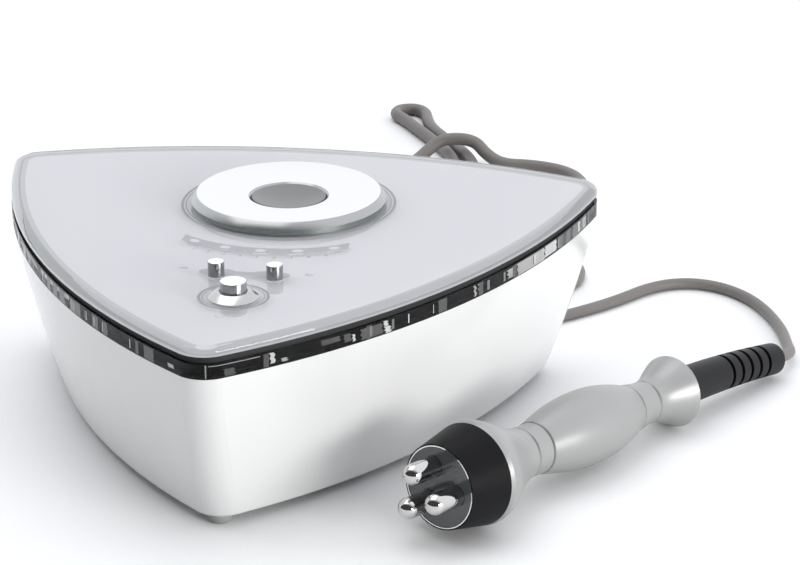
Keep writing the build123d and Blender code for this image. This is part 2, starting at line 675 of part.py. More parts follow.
def rest_dish():
    """Shallow dish in the ring's bore; its spigot centres it and its stud passes the deck."""
    rim_z = TOP_Z + REST_HEIGHT - REST_SINK - DISH_RIM_DROP
    radius = REST_BORE_RADIUS - FIT_GAP
    body = cylinder(radius, TOP_Z, rim_z - TOP_Z, FACE_X, REST_Y)
    hollow_radius = radius - 2 * DISH_RIM_DROP
    ball_radius = (hollow_radius ** 2 + DISH_DEPTH ** 2) / (2 * DISH_DEPTH)
    ball = Pos(FACE_X, REST_Y, rim_z - DISH_DEPTH + ball_radius) * Sphere(ball_radius)
    spigot = cylinder(DISH_SPIGOT_RADIUS, DECK_Z, TOP_Z - DECK_Z, FACE_X, REST_Y)
    stud = cylinder(DISH_STUD_RADIUS, DECK_Z - DISH_STUD_LENGTH, DISH_STUD_LENGTH, FACE_X, REST_Y)
    return body + spigot + stud - ball


def rest_nut():
    """Nut and washer face under the deck that hold the rest down."""
    washer_z = DECK_Z - BOARD_THICKNESS
    washer_radius = DISH_SPIGOT_RADIUS + BOARD_THICKNESS
    bore = DISH_STUD_RADIUS + PRESS_GAP
    washer = tube(washer_radius, bore, washer_z, BOARD_THICKNESS)
    nut_z = washer_z - DISH_NUT_HEIGHT
    nut = washer + hexagon(DISH_NUT_RADIUS, nut_z, DISH_NUT_HEIGHT, bore)
    return Pos(FACE_X, REST_Y, 0) * nut


# Controls

def level_button(side):
    """Level button: a round cap, a flange that stops under the deck, and a thin stem."""
    x = FACE_X + side * LEVEL_X
    flange_z = DECK_Z - SLIDE_GAP - LEVEL_FLANGE
    cap = cylinder(LEVEL_RADIUS, flange_z, TOP_Z + LEVEL_HEIGHT - flange_z, x, LEVEL_Y)
    cap = capped(cap, LEVEL_EDGE)
    flange = cylinder(LEVEL_FLANGE_RADIUS, flange_z, LEVEL_FLANGE, x, LEVEL_Y)
    stem_z = BOARD_TOP_Z + SWITCH_HEIGHT + SWITCH_TIP + LEVEL_TRAVEL + FIT_GAP
    return cap + flange + cylinder(LEVEL_STEM_RADIUS, stem_z, flange_z - stem_z, x, LEVEL_Y)


def level_switches():
    """Two square push switches on the control board, below the level buttons."""
    switches = []
    for side in (-1, 1):
        x = FACE_X + side * LEVEL_X
        body = block(SWITCH_SIZE, SWITCH_SIZE, SWITCH_HEIGHT, x, LEVEL_Y, BOARD_TOP_Z)
        tip = cylinder(SWITCH_TIP_RADIUS, BOARD_TOP_Z + SWITCH_HEIGHT, SWITCH_TIP, x, LEVEL_Y)
        switches.append(body + tip)
    return Compound(switches)


def power_button():
    """Power button: a larger cap that runs in the bezel's barrel, with a stop flange below it."""
    flange_top = LID_Z - BEZEL_BARREL - SLIDE_GAP
    flange_z = flange_top - POWER_FLANGE
    cap = cylinder(POWER_RADIUS, flange_z, TOP_Z + POWER_HEIGHT - flange_z, FACE_X, POWER_Y)
    return capped(cap, POWER_EDGE) + cylinder(POWER_FLANGE_RADIUS, flange_z, POWER_FLANGE, FACE_X, POWER_Y)


def power_bezel():
    """Cone-shaped bezel with a threaded barrel through the lid, the sheet and the deck."""
    cone = Pos(FACE_X, POWER_Y, TOP_Z) * Cone(BEZEL_RADIUS, BEZEL_TOP_RADIUS, BEZEL_HEIGHT,
                                         align=(Align.CENTER, Align.CENTER, Align.MIN))
    barrel_z = LID_Z - BEZEL_BARREL
    barrel = cylinder(BEZEL_BARREL_RADIUS, barrel_z, TOP_Z - barrel_z, FACE_X, POWER_Y)
    bore = cylinder(POWER_RADIUS + SLIDE_GAP, barrel_z, TOP_Z + BEZEL_HEIGHT - barrel_z, FACE_X, POWER_Y)
    return cone + barrel - bore


def bezel_nut():
    """Thin nut that clamps the bezel under the deck."""
    nut_z = DECK_Z - BEZEL_NUT_HEIGHT
    bore = BEZEL_BARREL_RADIUS + PRESS_GAP
    return hexagon(BEZEL_NUT_RADIUS, nut_z, BEZEL_NUT_HEIGHT, bore, FACE_X, POWER_Y)


def power_switch():
    """Latching switch below the power button; its tip stays short of the pressed button."""
    button_z = LID_Z - BEZEL_BARREL - SLIDE_GAP - POWER_FLANGE
    tip_top = button_z - POWER_TRAVEL - FIT_GAP
    body_top = min(BOARD_TOP_Z + POWER_SWITCH_HEIGHT, tip_top - FIT_GAP)
    body = block(POWER_SWITCH_SIZE, POWER_SWITCH_SIZE, body_top - BOARD_TOP_Z, FACE_X, POWER_Y, BOARD_TOP_Z)
    return body + cylinder(POWER_TIP_RADIUS, body_top, tip_top - body_top, FACE_X, POWER_Y)


# Control board and level display

def control_board():
    """Circuit board hung under the deck, narrower at the front."""
    board_z = BOARD_TOP_Z - BOARD_THICKNESS
    back = BOARD_WIDTH / 2
    front = back - BOARD_TAPER
    outline = Polyline((-front, BOARD_FRONT_Y), (front, BOARD_FRONT_Y), (back, BOARD_BACK_Y),
                       (-back, BOARD_BACK_Y), close=True)
    board = Pos(0, 0, board_z) * extrude(make_face(outline), amount=BOARD_THICKNESS)
    for x, y in board_screw_places():
        board -= cylinder(SMALL_SCREW_RADIUS + FIT_GAP, board_z, BOARD_THICKNESS, x, y)
    return board


def small_screws(places, head_top):
    """Small screws from below, their heads under the board."""
    screws = []
    for x, y in places:
        head = cylinder(SMALL_SCREW_HEAD_RADIUS, head_top - SMALL_SCREW_HEAD, SMALL_SCREW_HEAD, x, y)
        screws.append(head + cylinder(SMALL_SCREW_RADIUS, head_top, SMALL_SCREW_LENGTH, x, y))
    return Compound(screws)


def level_leds():
    """Five small lamps on the control board."""
    lamps = []
    for x, y, turn in window_places():
        lamps.append(Pos(x, y, BOARD_TOP_Z) * Rot(0, 0, turn) * Box(
            LED_LENGTH, LED_WIDTH, LED_HEIGHT, align=(Align.CENTER, Align.CENTER, Align.MIN)))
    return Compound(lamps)


def light_guides():
    """Five clear guides from the lamps up through the deck to the windows."""
    guide_z = BOARD_TOP_Z + LED_HEIGHT + FIT_GAP
    return Compound(window_prisms(guide_z, LID_Z - FIT_GAP - guide_z, 0))


# Generator

def rf_board():
    """Generator board on the shell's standoffs."""
    board_z = RF_BOARD_Z
    board = block(RF_BOARD_LENGTH, RF_BOARD_WIDTH, BOARD_THICKNESS, 0, RF_BOARD_Y, board_z)
    for x, y in rf_board_holes():
        board -= cylinder(SMALL_SCREW_RADIUS + FIT_GAP, board_z, BOARD_THICKNESS, x, y)
    return board


def rf_board_screws():
    """Four screws from above, with their heads on the generator board."""
    head_z = RF_BOARD_TOP_Z
    screws = []
    shank = min(SMALL_SCREW_LENGTH, RF_STANDOFF + BOARD_THICKNESS)
    for x, y in rf_board_holes():
        head = cylinder(SMALL_SCREW_HEAD_RADIUS, head_z, SMALL_SCREW_HEAD, x, y)
        screws.append(head + cylinder(SMALL_SCREW_RADIUS, head_z - shank, shank, x, y))
    return Compound(screws)


def framed_core(length, depth, height, leg, x, y, z):
    """Transformer core: a block with two windows beside a middle leg."""
    core = block(length, depth, height, x, y, z)
    window = (length - 4 * leg) / 2
    for side in (-1, 1):
        core -= block(window, depth, height - 2 * leg, x + side * (leg + window / 2), y, z + leg)
    return core


def framed_winding(length, depth, height, leg, coil_depth, x, y, z):
    """Winding round the middle leg of a core."""
    window = (length - 4 * leg) / 2
    low = z + leg + COIL_CLEARANCE
    tall = height - 2 * leg - 2 * COIL_CLEARANCE
    wide = 2 * (leg + window - COIL_CLEARANCE)
    bore = 2 * (leg + COIL_CLEARANCE / 2)
    winding = block(wide, coil_depth, tall, x, y, low)
    winding = fillet(winding.edges().filter_by(Axis.Z), leg / 2)
    return winding - block(bore, depth + COIL_CLEARANCE, tall, x, y, low)


def heat_sink():
    """Finned heat sink standing on the generator board."""
    base_z = RF_BOARD_TOP_Z
    sink = block(SINK_LENGTH, SINK_BASE, SINK_HEIGHT, SINK_X, SINK_Y, base_z)
    pitch = (SINK_LENGTH - SINK_FIN) / (SINK_FIN_COUNT - 1)
    for index in range(SINK_FIN_COUNT):
        fin_x = SINK_X - (SINK_LENGTH - SINK_FIN) / 2 + index * pitch
        fin_y = SINK_Y + (SINK_DEPTH - SINK_BASE) / 2
        sink += block(SINK_FIN, SINK_DEPTH, SINK_HEIGHT, fin_x, fin_y, base_z)
    return sink


def capacitors():
    """Row of electrolytic capacitors on the generator board."""
    base_z = RF_BOARD_TOP_Z
    cans = []
    for index in range(CAPACITOR_COUNT):
        x = CAPACITOR_X + index * CAPACITOR_PITCH
        can = cylinder(CAPACITOR_RADIUS, base_z, CAPACITOR_HEIGHT, x, CAPACITOR_Y)
        cans.append(capped(can, CAPACITOR_EDGE))
    return Compound(cans)


# Rear connector panel

def rear_panel():
    """Flat plate in the pocket, with holes for the socket, the fuse holder and the cord gland."""
    height = POCKET_TOP_Z - POCKET_BOTTOM_Z - 2 * FIT_GAP
    panel = block(2 * (POCKET_HALF_WIDTH - FIT_GAP), PANEL_THICKNESS, height, 0,
                  PANEL_FACE_Y - PANEL_THICKNESS / 2, POCKET_BOTTOM_Z + FIT_GAP)
    holes = [(SOCKET_X, SOCKET_BODY_RADIUS), (FUSE_X, FUSE_BODY_RADIUS), (GLAND_X, GLAND_BODY_RADIUS)]
    holes += [(side * PANEL_SCREW_X, SMALL_SCREW_RADIUS) for side in (-1, 1)]
    for x, radius in holes:
        panel -= backwards(Cylinder(radius + FIT_GAP, 3 * PANEL_THICKNESS), x, CONNECTOR_Z)
    return panel


def panel_screws():
    """Two screws through the panel into the pocket's ledge."""
    screws = []
    for side in (-1, 1):
        shank_length = PANEL_THICKNESS + POCKET_WALL
        screw = cylinder(SMALL_SCREW_HEAD_RADIUS, 0, SMALL_SCREW_HEAD)
        screw += cylinder(SMALL_SCREW_RADIUS, -shank_length, shank_length)
        screws.append(backwards(screw, side * PANEL_SCREW_X, CONNECTOR_Z))
    return Compound(screws)


def hand_socket():
    """Round socket with a flange outside the panel and its body inside."""
    socket = cylinder(SOCKET_FLANGE_RADIUS, 0, SOCKET_FLANGE)
    socket += cylinder(SOCKET_BODY_RADIUS, -SOCKET_BODY, SOCKET_BODY)
    socket -= cylinder(SOCKET_BORE_RADIUS, SOCKET_FLANGE - SOCKET_BORE, SOCKET_BORE)
    return backwards(socket, SOCKET_X, CONNECTOR_Z)


def socket_nut():
    """Nut inside the panel that holds the socket."""
    nut_z = -PANEL_THICKNESS - SOCKET_NUT
    nut = hexagon(SOCKET_NUT_RADIUS, nut_z, SOCKET_NUT, SOCKET_BODY_RADIUS + PRESS_GAP)
    return backwards(nut, SOCKET_X, CONNECTOR_Z)


def fuse_holder():
    """Fuse holder with a round cap outside the panel."""
    holder = cylinder(FUSE_FLANGE_RADIUS, 0, FUSE_FLANGE)
    holder += cylinder(FUSE_CAP_RADIUS, FUSE_FLANGE, FUSE_CAP)
    holder += cylinder(FUSE_BODY_RADIUS, -FUSE_BODY, FUSE_BODY)
    return backwards(holder, FUSE_X, CONNECTOR_Z)


def mains_gland():
    """Cord gland: a collar and a tapering sleeve that the mains cord comes out of."""
    gland = cylinder(GLAND_COLLAR_RADIUS, 0, GLAND_COLLAR)
    upright = (Align.CENTER, Align.CENTER, Align.MIN)
    sleeve = Cone(GLAND_BODY_RADIUS, GLAND_CONE_RADIUS, GLAND_CONE, align=upright)
    gland += Pos(0, 0, GLAND_COLLAR) * sleeve
    gland += cylinder(GLAND_BODY_RADIUS, -GLAND_BODY, GLAND_BODY)
    return backwards(gland, GLAND_X, CONNECTOR_Z)


# Handpiece: every piece is drawn along +X from the front face, then laid on the table

def hand_plane():
    """Plane of the handpiece: it lies on its lip and its tail rim, heading away to the right."""
    tilt = math.atan((TAIL_RADIUS - LIP_RADIUS) / (TAIL_STATION - LIP_STATION))
    heading = math.radians(HAND_HEADING_ANGLE)
    flat = math.cos(tilt)
    drop = math.sin(tilt)
    height = LIP_RADIUS * flat - LIP_STATION * drop
    x_dir = (math.cos(heading) * flat, math.sin(heading) * flat, drop)
    z_dir = (-math.cos(heading) * drop, -math.sin(heading) * drop, flat)
    return Plane(origin=(HAND_X, HAND_Y, height), x_dir=x_dir, z_dir=z_dir)


def laid(shape):
    """Lay a piece of the handpiece in its place on the table."""
    return hand_plane().location * shape


def disc(station, thickness, radius, bore=0.0):
    """Disc or ring about the handpiece's axis."""
    shape = Pos(station + thickness / 2, 0, 0) * Rot(0, 90, 0) * Cylinder(radius, thickness)
    if bore > 0:
        shape -= Pos(station + thickness / 2, 0, 0) * Rot(0, 90, 0) * Cylinder(bore, 2 * thickness)
    return shape


def turned_body(start, curve, end):
    """Solid turned about X: straight lines, then one smooth curve, then straight lines again."""
    smooth = Spline(start[-1], *curve, end[0])
    first = Polyline((start[0][0], 0), *start)
    last = Polyline(*end, (end[-1][0], 0))
    axis = Line((end[-1][0], 0), (start[0][0], 0))
    return revolve(make_face([first, smooth, last, axis]), Axis.X)


def groove(place):
    """Ring-shaped cutter of a V groove at a station of the given radius."""
    station, radius = place
    half = GROOVE_WIDTH / 2
    outside = radius + GROOVE_DEPTH
    bottom = radius - GROOVE_DEPTH
    return turned([(station - 2 * half, outside), (station, bottom), (station + 2 * half, outside)])


def face_trim():
    """Thin bright ring round the face plate, set in the barrel's mouth."""
    return disc(0, CARRIER_STATION, FACE_RADIUS + FIT_GAP + TRIM_WIDTH, FACE_RADIUS + FIT_GAP)


def electrode_places():
    """Offsets of the electrode axes from the handpiece's axis."""
    places = []
    for index in range(ELECTRODE_COUNT):
        angle = math.radians(180 + ELECTRODE_TURN_ANGLE - index * 360 / ELECTRODE_COUNT)
        places.append((ELECTRODE_CIRCLE * math.cos(angle), ELECTRODE_CIRCLE * math.sin(angle)))
    return places


def face_plate():
    """Smoky face plate with a hole for each electrode."""
    plate = disc(FACE_RECESS, FACE_THICKNESS, FACE_RADIUS)
    for y, z in electrode_places():
        plate -= Pos(0, y, z) * disc(0, 2 * FACE_THICKNESS, ELECTRODE_RADIUS + FIT_GAP)
    return plate


def head_barrel():
    """Black barrel: it widens to the rear, with a pocket for the face plate in its mouth."""
    barrel = turned([(0, 0), (0, HEAD_FRONT_RADIUS), (HEAD_LENGTH, HEAD_REAR_RADIUS), (HEAD_LENGTH, 0)])
    barrel -= disc(0, HEAD_LENGTH, HEAD_BORE_RADIUS)
    return barrel - disc(0, CARRIER_STATION, FACE_RADIUS + TRIM_WIDTH + 2 * FIT_GAP)


def electrode_carrier():
    """Insulating disc behind the face plate that the electrodes are bolted to."""
    carrier = disc(CARRIER_STATION, CARRIER_THICKNESS, HEAD_BORE_RADIUS - FIT_GAP)
    for y, z in electrode_places():
        carrier -= Pos(0, y, z) * disc(0, 2 * HEAD_LENGTH, ELECTRODE_STUD_RADIUS + PRESS_GAP)
    return carrier


def electrode(place):
    """Electrode rod with a domed end and a threaded stud."""
    y, z = place
    rod_end = ELECTRODE_RADIUS - ELECTRODE_LENGTH
    rod = disc(rod_end, CARRIER_STATION - rod_end, ELECTRODE_RADIUS)
    rod += Pos(rod_end, 0, 0) * Sphere(ELECTRODE_RADIUS)
    stud = CARRIER_THICKNESS + ELECTRODE_NUT + ELECTRODE_STUD_END
    rod += disc(CARRIER_STATION, stud, ELECTRODE_STUD_RADIUS)
    return Pos(0, y, z) * rod


def electrode_nuts():
    """Nuts on the electrodes' studs, behind the carrier."""
    nuts = []
    for y, z in electrode_places():
        nut = hexagon(ELECTRODE_NUT_RADIUS, 0, ELECTRODE_NUT, ELECTRODE_STUD_RADIUS + PRESS_GAP)
        nuts.append(Pos(CARRIER_STATION + CARRIER_THICKNESS, y, z) * Rot(0, 90, 0) * nut)
    return Compound(nuts)


def front_spigot_bore():
    """Inner radius of the spigot that enters the barrel, and of the hollow behind it."""
    return HEAD_BORE_RADIUS - FIT_GAP - SPIGOT_WALL


def grip_front_bore():
    """Radius of the grip's front seat."""
    return GRIP_FRONT_RADIUS - HANDLE_WALL


def grip_rear_bore():
    """Radius of the grip's rear seat."""
    return GRIP_REAR_RADIUS - HANDLE_WALL


def front_cone():
    """Silver front shell: a lip behind the barrel, a cone down to the neck, and a spigot at each end."""
    neck = FRONT_CURVE[-1][1]
    outer = turned_body([(HEAD_LENGTH, HEAD_REAR_RADIUS), (LIP_STATION, LIP_RADIUS)], FRONT_CURVE,
                        [(GRIP_STATION - SEAM, neck), (GRIP_STATION, neck - SEAM)])
    outer -= groove(FRONT_GROOVE)
    outer += disc(HEAD_LENGTH - SPIGOT_LENGTH, SPIGOT_LENGTH, HEAD_BORE_RADIUS - FIT_GAP)
    outer += disc(GRIP_STATION, SPIGOT_LENGTH, grip_front_bore() - FIT_GAP)
    bore = front_spigot_bore()
    thin = grip_front_bore() - FIT_GAP - SPIGOT_WALL
    wide = [(HEAD_LENGTH - SPIGOT_LENGTH, 0), (HEAD_LENGTH - SPIGOT_LENGTH, bore)]
    limit = bore + HANDLE_WALL
    cone = [(station, radius - 2 * HANDLE_WALL) for station, radius in FRONT_CURVE if radius < limit]
    cone = [(station, radius) for station, radius in cone if radius > thin]
    end = [(FRONT_GROOVE[0], thin), (GRIP_STATION + SPIGOT_LENGTH, thin), (GRIP_STATION + SPIGOT_LENGTH, 0)]
    return outer - turned(wide + [(LIP_STATION, bore)] + cone + end)


def grip_shell():
    """Silver grip: a long swelling between two seams, with two slotted ribs inside."""
    outer = turned_body([(GRIP_STATION, GRIP_FRONT_RADIUS - SEAM), (GRIP_STATION + SEAM, GRIP_FRONT_RADIUS)],
                        GRIP_CURVE, [(GRIP_END_STATION - SEAM, GRIP_REAR_RADIUS),
                                     (GRIP_END_STATION, GRIP_REAR_RADIUS - SEAM)])
    seat_end = GRIP_STATION + SPIGOT_LENGTH + FIT_GAP
    rear_seat = GRIP_END_STATION - SPIGOT_LENGTH - FIT_GAP
    first = seat_end + SPIGOT_LENGTH
    swelling = [(station, radius - HANDLE_WALL) for station, radius in GRIP_CURVE if station > first]
    inner = turned_body([(GRIP_STATION, grip_front_bore()), (seat_end, grip_front_bore())], swelling,
                        [(rear_seat, grip_rear_bore()), (GRIP_END_STATION, grip_rear_bore())])
    grip = outer - inner
    slot = Pos(HANDLE_BOARD_STATION + HANDLE_BOARD_LENGTH / 2, 0, 0) * Box(
        HANDLE_BOARD_LENGTH + 2 * FIT_GAP, HANDLE_BOARD_WIDTH + 2 * FIT_GAP, BOARD_THICKNESS + 2 * FIT_GAP)
    last = HANDLE_BOARD_STATION + HANDLE_BOARD_LENGTH - RIB_MARGIN - RIB_THICKNESS
    for station in (HANDLE_BOARD_STATION + RIB_MARGIN, last):
        rib = disc(station, RIB_THICKNESS, LIP_RADIUS) & inner
        for side in (-1, 1):
            rib -= Pos(0, 0, side * HANDLE_BOARD_WIDTH / 2) * disc(station, RIB_THICKNESS, RIB_WIRE_RADIUS)
        grip += rib - slot
    return grip


def handle_board():
    """Small circuit board between the grip's ribs."""
    return Pos(HANDLE_BOARD_STATION + HANDLE_BOARD_LENGTH / 2, 0, 0) * Box(
        HANDLE_BOARD_LENGTH, HANDLE_BOARD_WIDTH, BOARD_THICKNESS)


def tail_plug_radius():
    """Radius of the rubber plug in the tail's mouth."""
    return TAIL_END_RADIUS - HANDLE_WALL


def tail_cone():
    """Silver tail: a waist that opens out to the rim, with a spigot into the grip."""
    seam = [(GRIP_END_STATION, GRIP_REAR_RADIUS - SEAM), (GRIP_END_STATION + SEAM, GRIP_REAR_RADIUS)]
    rim = [(TAIL_STATION, TAIL_RADIUS), (TAIL_END_STATION, TAIL_END_RADIUS)]
    outer = turned_body(seam, TAIL_CURVE, rim)
    outer -= groove(TAIL_GROOVE)
    outer += disc(GRIP_END_STATION - SPIGOT_LENGTH, SPIGOT_LENGTH, grip_rear_bore() - FIT_GAP)
    bore = grip_rear_bore() - FIT_GAP - SPIGOT_WALL
    seat = TAIL_END_STATION - TAIL_PLUG_LENGTH
    front = GRIP_END_STATION - SPIGOT_LENGTH
    mouth = tail_plug_radius()
    hollow = turned([(front, 0), (front, bore), (TAIL_CURVE[2][0], bore), (seat, mouth - TAIL_LEDGE),
                     (seat, mouth), (TAIL_END_STATION, mouth), (TAIL_END_STATION, 0)])
    return outer - hollow


def tail_plug():
    """Rubber plug in the tail's mouth, with a hole for the strain relief's root."""
    return disc(TAIL_END_STATION - TAIL_PLUG_LENGTH, TAIL_PLUG_LENGTH, tail_plug_radius() - PRESS_GAP,
                RELIEF_CORE_RADIUS + PRESS_GAP)


def relief_path():
    """Axis of the strain relief: an arc from the tail, along the handpiece's axis, to the cord's start."""
    start = hand_plane().from_local_coords(Vector(TAIL_END_STATION, 0, 0))
    return TangentArc([start, Vector(*RELIEF_END)], tangent=hand_plane().x_dir)


def relief_piece(path, start, end, extra=0.0):
    """Tapered length of the strain relief between two distances along its axis."""
    sections = []
    for share in (0, 1 / 2, 1):
        place = start + (end - start) * share
        radius = RELIEF_BASE_RADIUS + (RELIEF_END_RADIUS - RELIEF_BASE_RADIUS) * place / path.length
        sections.append((path ^ (place / path.length)) * Circle(radius + extra).face())
    return loft(sections)


def strain_relief():
    """Ribbed rubber relief: a root in the plug, a core, a plain sleeve, four ribs and a rounded end."""
    path = relief_path()
    length = path.length
    core = sweep((path ^ 0) * Circle(RELIEF_CORE_RADIUS).face(), path=path)
    root = laid(disc(TAIL_END_STATION - TAIL_PLUG_LENGTH, TAIL_PLUG_LENGTH, RELIEF_CORE_RADIUS))
    tip_start = length - RELIEF_TIP_LENGTH
    ribs_start = tip_start - RELIEF_RIB_COUNT * RELIEF_RIB_PITCH
    tip = relief_piece(path, tip_start, length)
    tip_edge = tip.faces().sort_by_distance(Vector(*RELIEF_END))[0].edges()
    relief = core + root + fillet(tip_edge, RELIEF_TIP_EDGE)
    relief += relief_piece(path, 0, ribs_start - RELIEF_GROOVE)
    for index in range(RELIEF_RIB_COUNT):
        rib_start = ribs_start + index * RELIEF_RIB_PITCH
        relief += relief_piece(path, rib_start, rib_start + RELIEF_RIB_PITCH - RELIEF_GROOVE)
    return relief


# Cords

def bend_radii(points):
    """Radius at each inner point of a route: as large as its two runs allow."""
    radii = []
    for before, here, after in zip(points, points[1:], points[2:]):
        first = here - before
        second = after - here
        turn = math.radians(first.get_angle(second))
        radii.append(ARC_SHARE * min(first.length, second.length) / math.tan(turn / 2))
    return radii


def cord(name, points, radius):
    """Tube along a route of straight runs joined by tangent arcs."""
    route = [Vector(*point) for point in points]
    radii = bend_radii(route)
    path = FilletPolyline(*route, radius=radii)
    start = Plane(origin=route[0], z_dir=route[1] - route[0])
    tube_solid = sweep(start * Circle(radius).face(), path=path.wires()[0])
    section = math.pi * radius ** 2
    print(name, "length", round(path.length, 1), "smallest radius", round(min(radii), 1),
          "volume over section times length", round(tube_solid.volume / (section * path.length), 4))
    return tube_solid


def half_loop(x_start, x_end, y, z_start, z_end, heading):
    """Half a loop between two points beside each other; when it climbs it is two quarter-turn arcs."""
    start = Vector(x_start, y, z_start)
    end = Vector(x_end, y, z_end)
    along = Vector(0, heading, 0)
    reach = (end - start).length / 2
    if z_start == z_end:
        return [ThreePointArc(start, (start + end) / 2 + along * reach, end)]
    first_corner = start + along * reach
    second_corner = end + along * reach
    middle = (first_corner + second_corner) / 2
    first = TangentArc([start, middle], tangent=along)
    second = TangentArc([middle, end], tangent=second_corner - first_corner)
    return [first, second]


def coil_edges(centre, outer_radius, pitch, z, lead, heading):
    """Two loops inwards, a climb, and two loops outwards on top; both ends leave at the left side."""
    x, y = centre
    reach = [outer_radius - index * pitch / 2 for index in range(COIL_HALF_LOOPS + 1)]
    reach += [reach[-1] + index * pitch / 2 for index in range(COIL_HALF_LOOPS)]
    edges = [Line((x - reach[0], y - heading * lead, z), (x - reach[0], y, z))]
    side = -1
    for index in range(2 * COIL_HALF_LOOPS):
        low = z if index <= COIL_HALF_LOOPS else z + pitch
        high = z if index < COIL_HALF_LOOPS else z + pitch
        way = heading if side < 0 else -heading
        edges += half_loop(x + side * reach[index], x - side * reach[index + 1], y, low, high, way)
        side = -side
    top = z + pitch
    edges.append(Line((x - reach[-1], y, top), (x - reach[-1], y + heading * lead, top)))
    return edges


def coil_end(centre, outer_radius, pitch, z, lead, heading):
    """Where the coil's upper end stops."""
    return (centre[0] - outer_radius + pitch / 2, centre[1] + heading * lead, z + pitch)


def cord_coil(name, centre, outer_radius, radius, z, lead, heading):
    """Coil of a cord as one unbroken tube."""
    pitch = 2 * radius + COIL_GAP
    edges = coil_edges(centre, outer_radius, pitch, z, lead, heading)
    path = Wire(edges)
    start = Plane(origin=edges[0] @ 0, z_dir=(0, heading, 0))
    tube_solid = sweep(start * Circle(radius).face(), path=path)
    samples = [path @ (index / GAP_SAMPLES) for index in range(GAP_SAMPLES + 1)]
    apart = int(GAP_SAMPLES * 4 * radius / path.length) + 1
    least = min((a - b).length for index, a in enumerate(samples) for b in samples[index + apart:])
    section = math.pi * radius ** 2
    print(name, "length", round(path.length, 1), "least gap to itself", round(least - 2 * radius, 2),
          "volume over section times length", round(tube_solid.volume / (section * path.length), 4))
    return tube_solid


def hand_cord_points():
    """Route of the handpiece cord from the strain relief to its coil."""
    path = relief_path()
    lead = path @ 1 + (path % 1) * RELIEF_LEAD
    x, y = HAND_COIL_CENTRE
    coil_start = (x - HAND_COIL_RADIUS, y - HAND_COIL_LEAD, HAND_COIL_Z)
    return [RELIEF_END, tuple(lead)] + HAND_CORD_ROUTE + [coil_start]


def hand_tail_points():
    """Route of the handpiece cord from its coil to the plug in the rear panel."""
    pitch = 2 * HAND_CORD_RADIUS + COIL_GAP
    start = coil_end(HAND_COIL_CENTRE, HAND_COIL_RADIUS, pitch, HAND_COIL_Z, HAND_COIL_LEAD, 1)
    boot_end = PANEL_FACE_Y + SOCKET_FLANGE + HAND_PLUG_LENGTH + HAND_PLUG_BOOT
    lead_out = (start[0], start[1] + HAND_COIL_LEAD, start[2])
    lead_in = (SOCKET_X, boot_end + HAND_COIL_LEAD, CONNECTOR_Z)
    return [start, lead_out] + HAND_TAIL_ROUTE + [lead_in, (SOCKET_X, boot_end, CONNECTOR_Z)]


def mains_points():
    """Route of the mains cord from the gland to its coil."""
    start = (GLAND_X, PANEL_FACE_Y + GLAND_COLLAR + GLAND_CONE, CONNECTOR_Z)
    x, y = MAINS_COIL_CENTRE
    return [start] + MAINS_ROUTE + [(x - MAINS_COIL_RADIUS, y + MAINS_COIL_LEAD, MAINS_COIL_Z)]


def mains_tail_points():
    """Route of the mains cord from its coil to the plug."""
    pitch = 2 * MAINS_CORD_RADIUS + COIL_GAP
    start = coil_end(MAINS_COIL_CENTRE, MAINS_COIL_RADIUS, pitch, MAINS_COIL_Z, MAINS_COIL_LEAD, -1)
    lead_out = (start[0], start[1] - MAINS_COIL_LEAD, start[2])
    return [start, lead_out] + MAINS_TAIL_ROUTE + [(MAINS_PLUG_X, MAINS_PLUG_Y, MAINS_PLUG_HEIGHT / 2)]


# Plugs

def hand_plug():
    """Round plug: a tip in the socket's bore, a grip body and a tapering boot."""
    body = cylinder(HAND_PLUG_RADIUS, 0, HAND_PLUG_LENGTH)
    body = fillet(body.edges().filter_by(GeomType.CIRCLE), HAND_PLUG_EDGE)
    boot = Cone(HAND_PLUG_BOOT_RADIUS + HAND_PLUG_EDGE, HAND_CORD_RADIUS + HAND_PLUG_EDGE, HAND_PLUG_BOOT,
                align=(Align.CENTER, Align.CENTER, Align.MIN))
    body += Pos(0, 0, HAND_PLUG_LENGTH) * boot
    body += cylinder(HAND_PLUG_TIP_RADIUS, -HAND_PLUG_TIP, HAND_PLUG_TIP + HAND_PLUG_EDGE)
    return backwards(body, SOCKET_X, CONNECTOR_Z, PANEL_FACE_Y + SOCKET_FLANGE)


def mains_plug():
    """Flat two-pin plug lying on the table, narrow at the cord."""
    half = MAINS_PLUG_WIDTH / 2
    neck = MAINS_PLUG_NECK_WIDTH / 2
    shoulder = MAINS_PLUG_LENGTH / 2
    outline = Polyline((0, -neck), (shoulder, -half), (MAINS_PLUG_LENGTH, -half), (MAINS_PLUG_LENGTH, half),
                       (shoulder, half), (0, neck), close=True)
    body = extrude(make_face(outline), amount=MAINS_PLUG_HEIGHT)
    body = fillet(body.edges().filter_by(Axis.Z), MAINS_PLUG_EDGE)
    body = fillet(body.faces().sort_by(Axis.Z)[-1].edges(), MAINS_PLUG_EDGE / 2)
    for side in (-1, 1):
        pin_x = MAINS_PLUG_LENGTH + MAINS_PIN_LENGTH / 2
        pin = Pos(pin_x, side * MAINS_PIN_SPACING / 2, MAINS_PLUG_HEIGHT / 2) * Rot(0, 90, 0)
        body += pin * Cylinder(MAINS_PIN_RADIUS, MAINS_PIN_LENGTH)
    return Pos(MAINS_PLUG_X, MAINS_PLUG_Y, 0) * body


# Every piece in its place

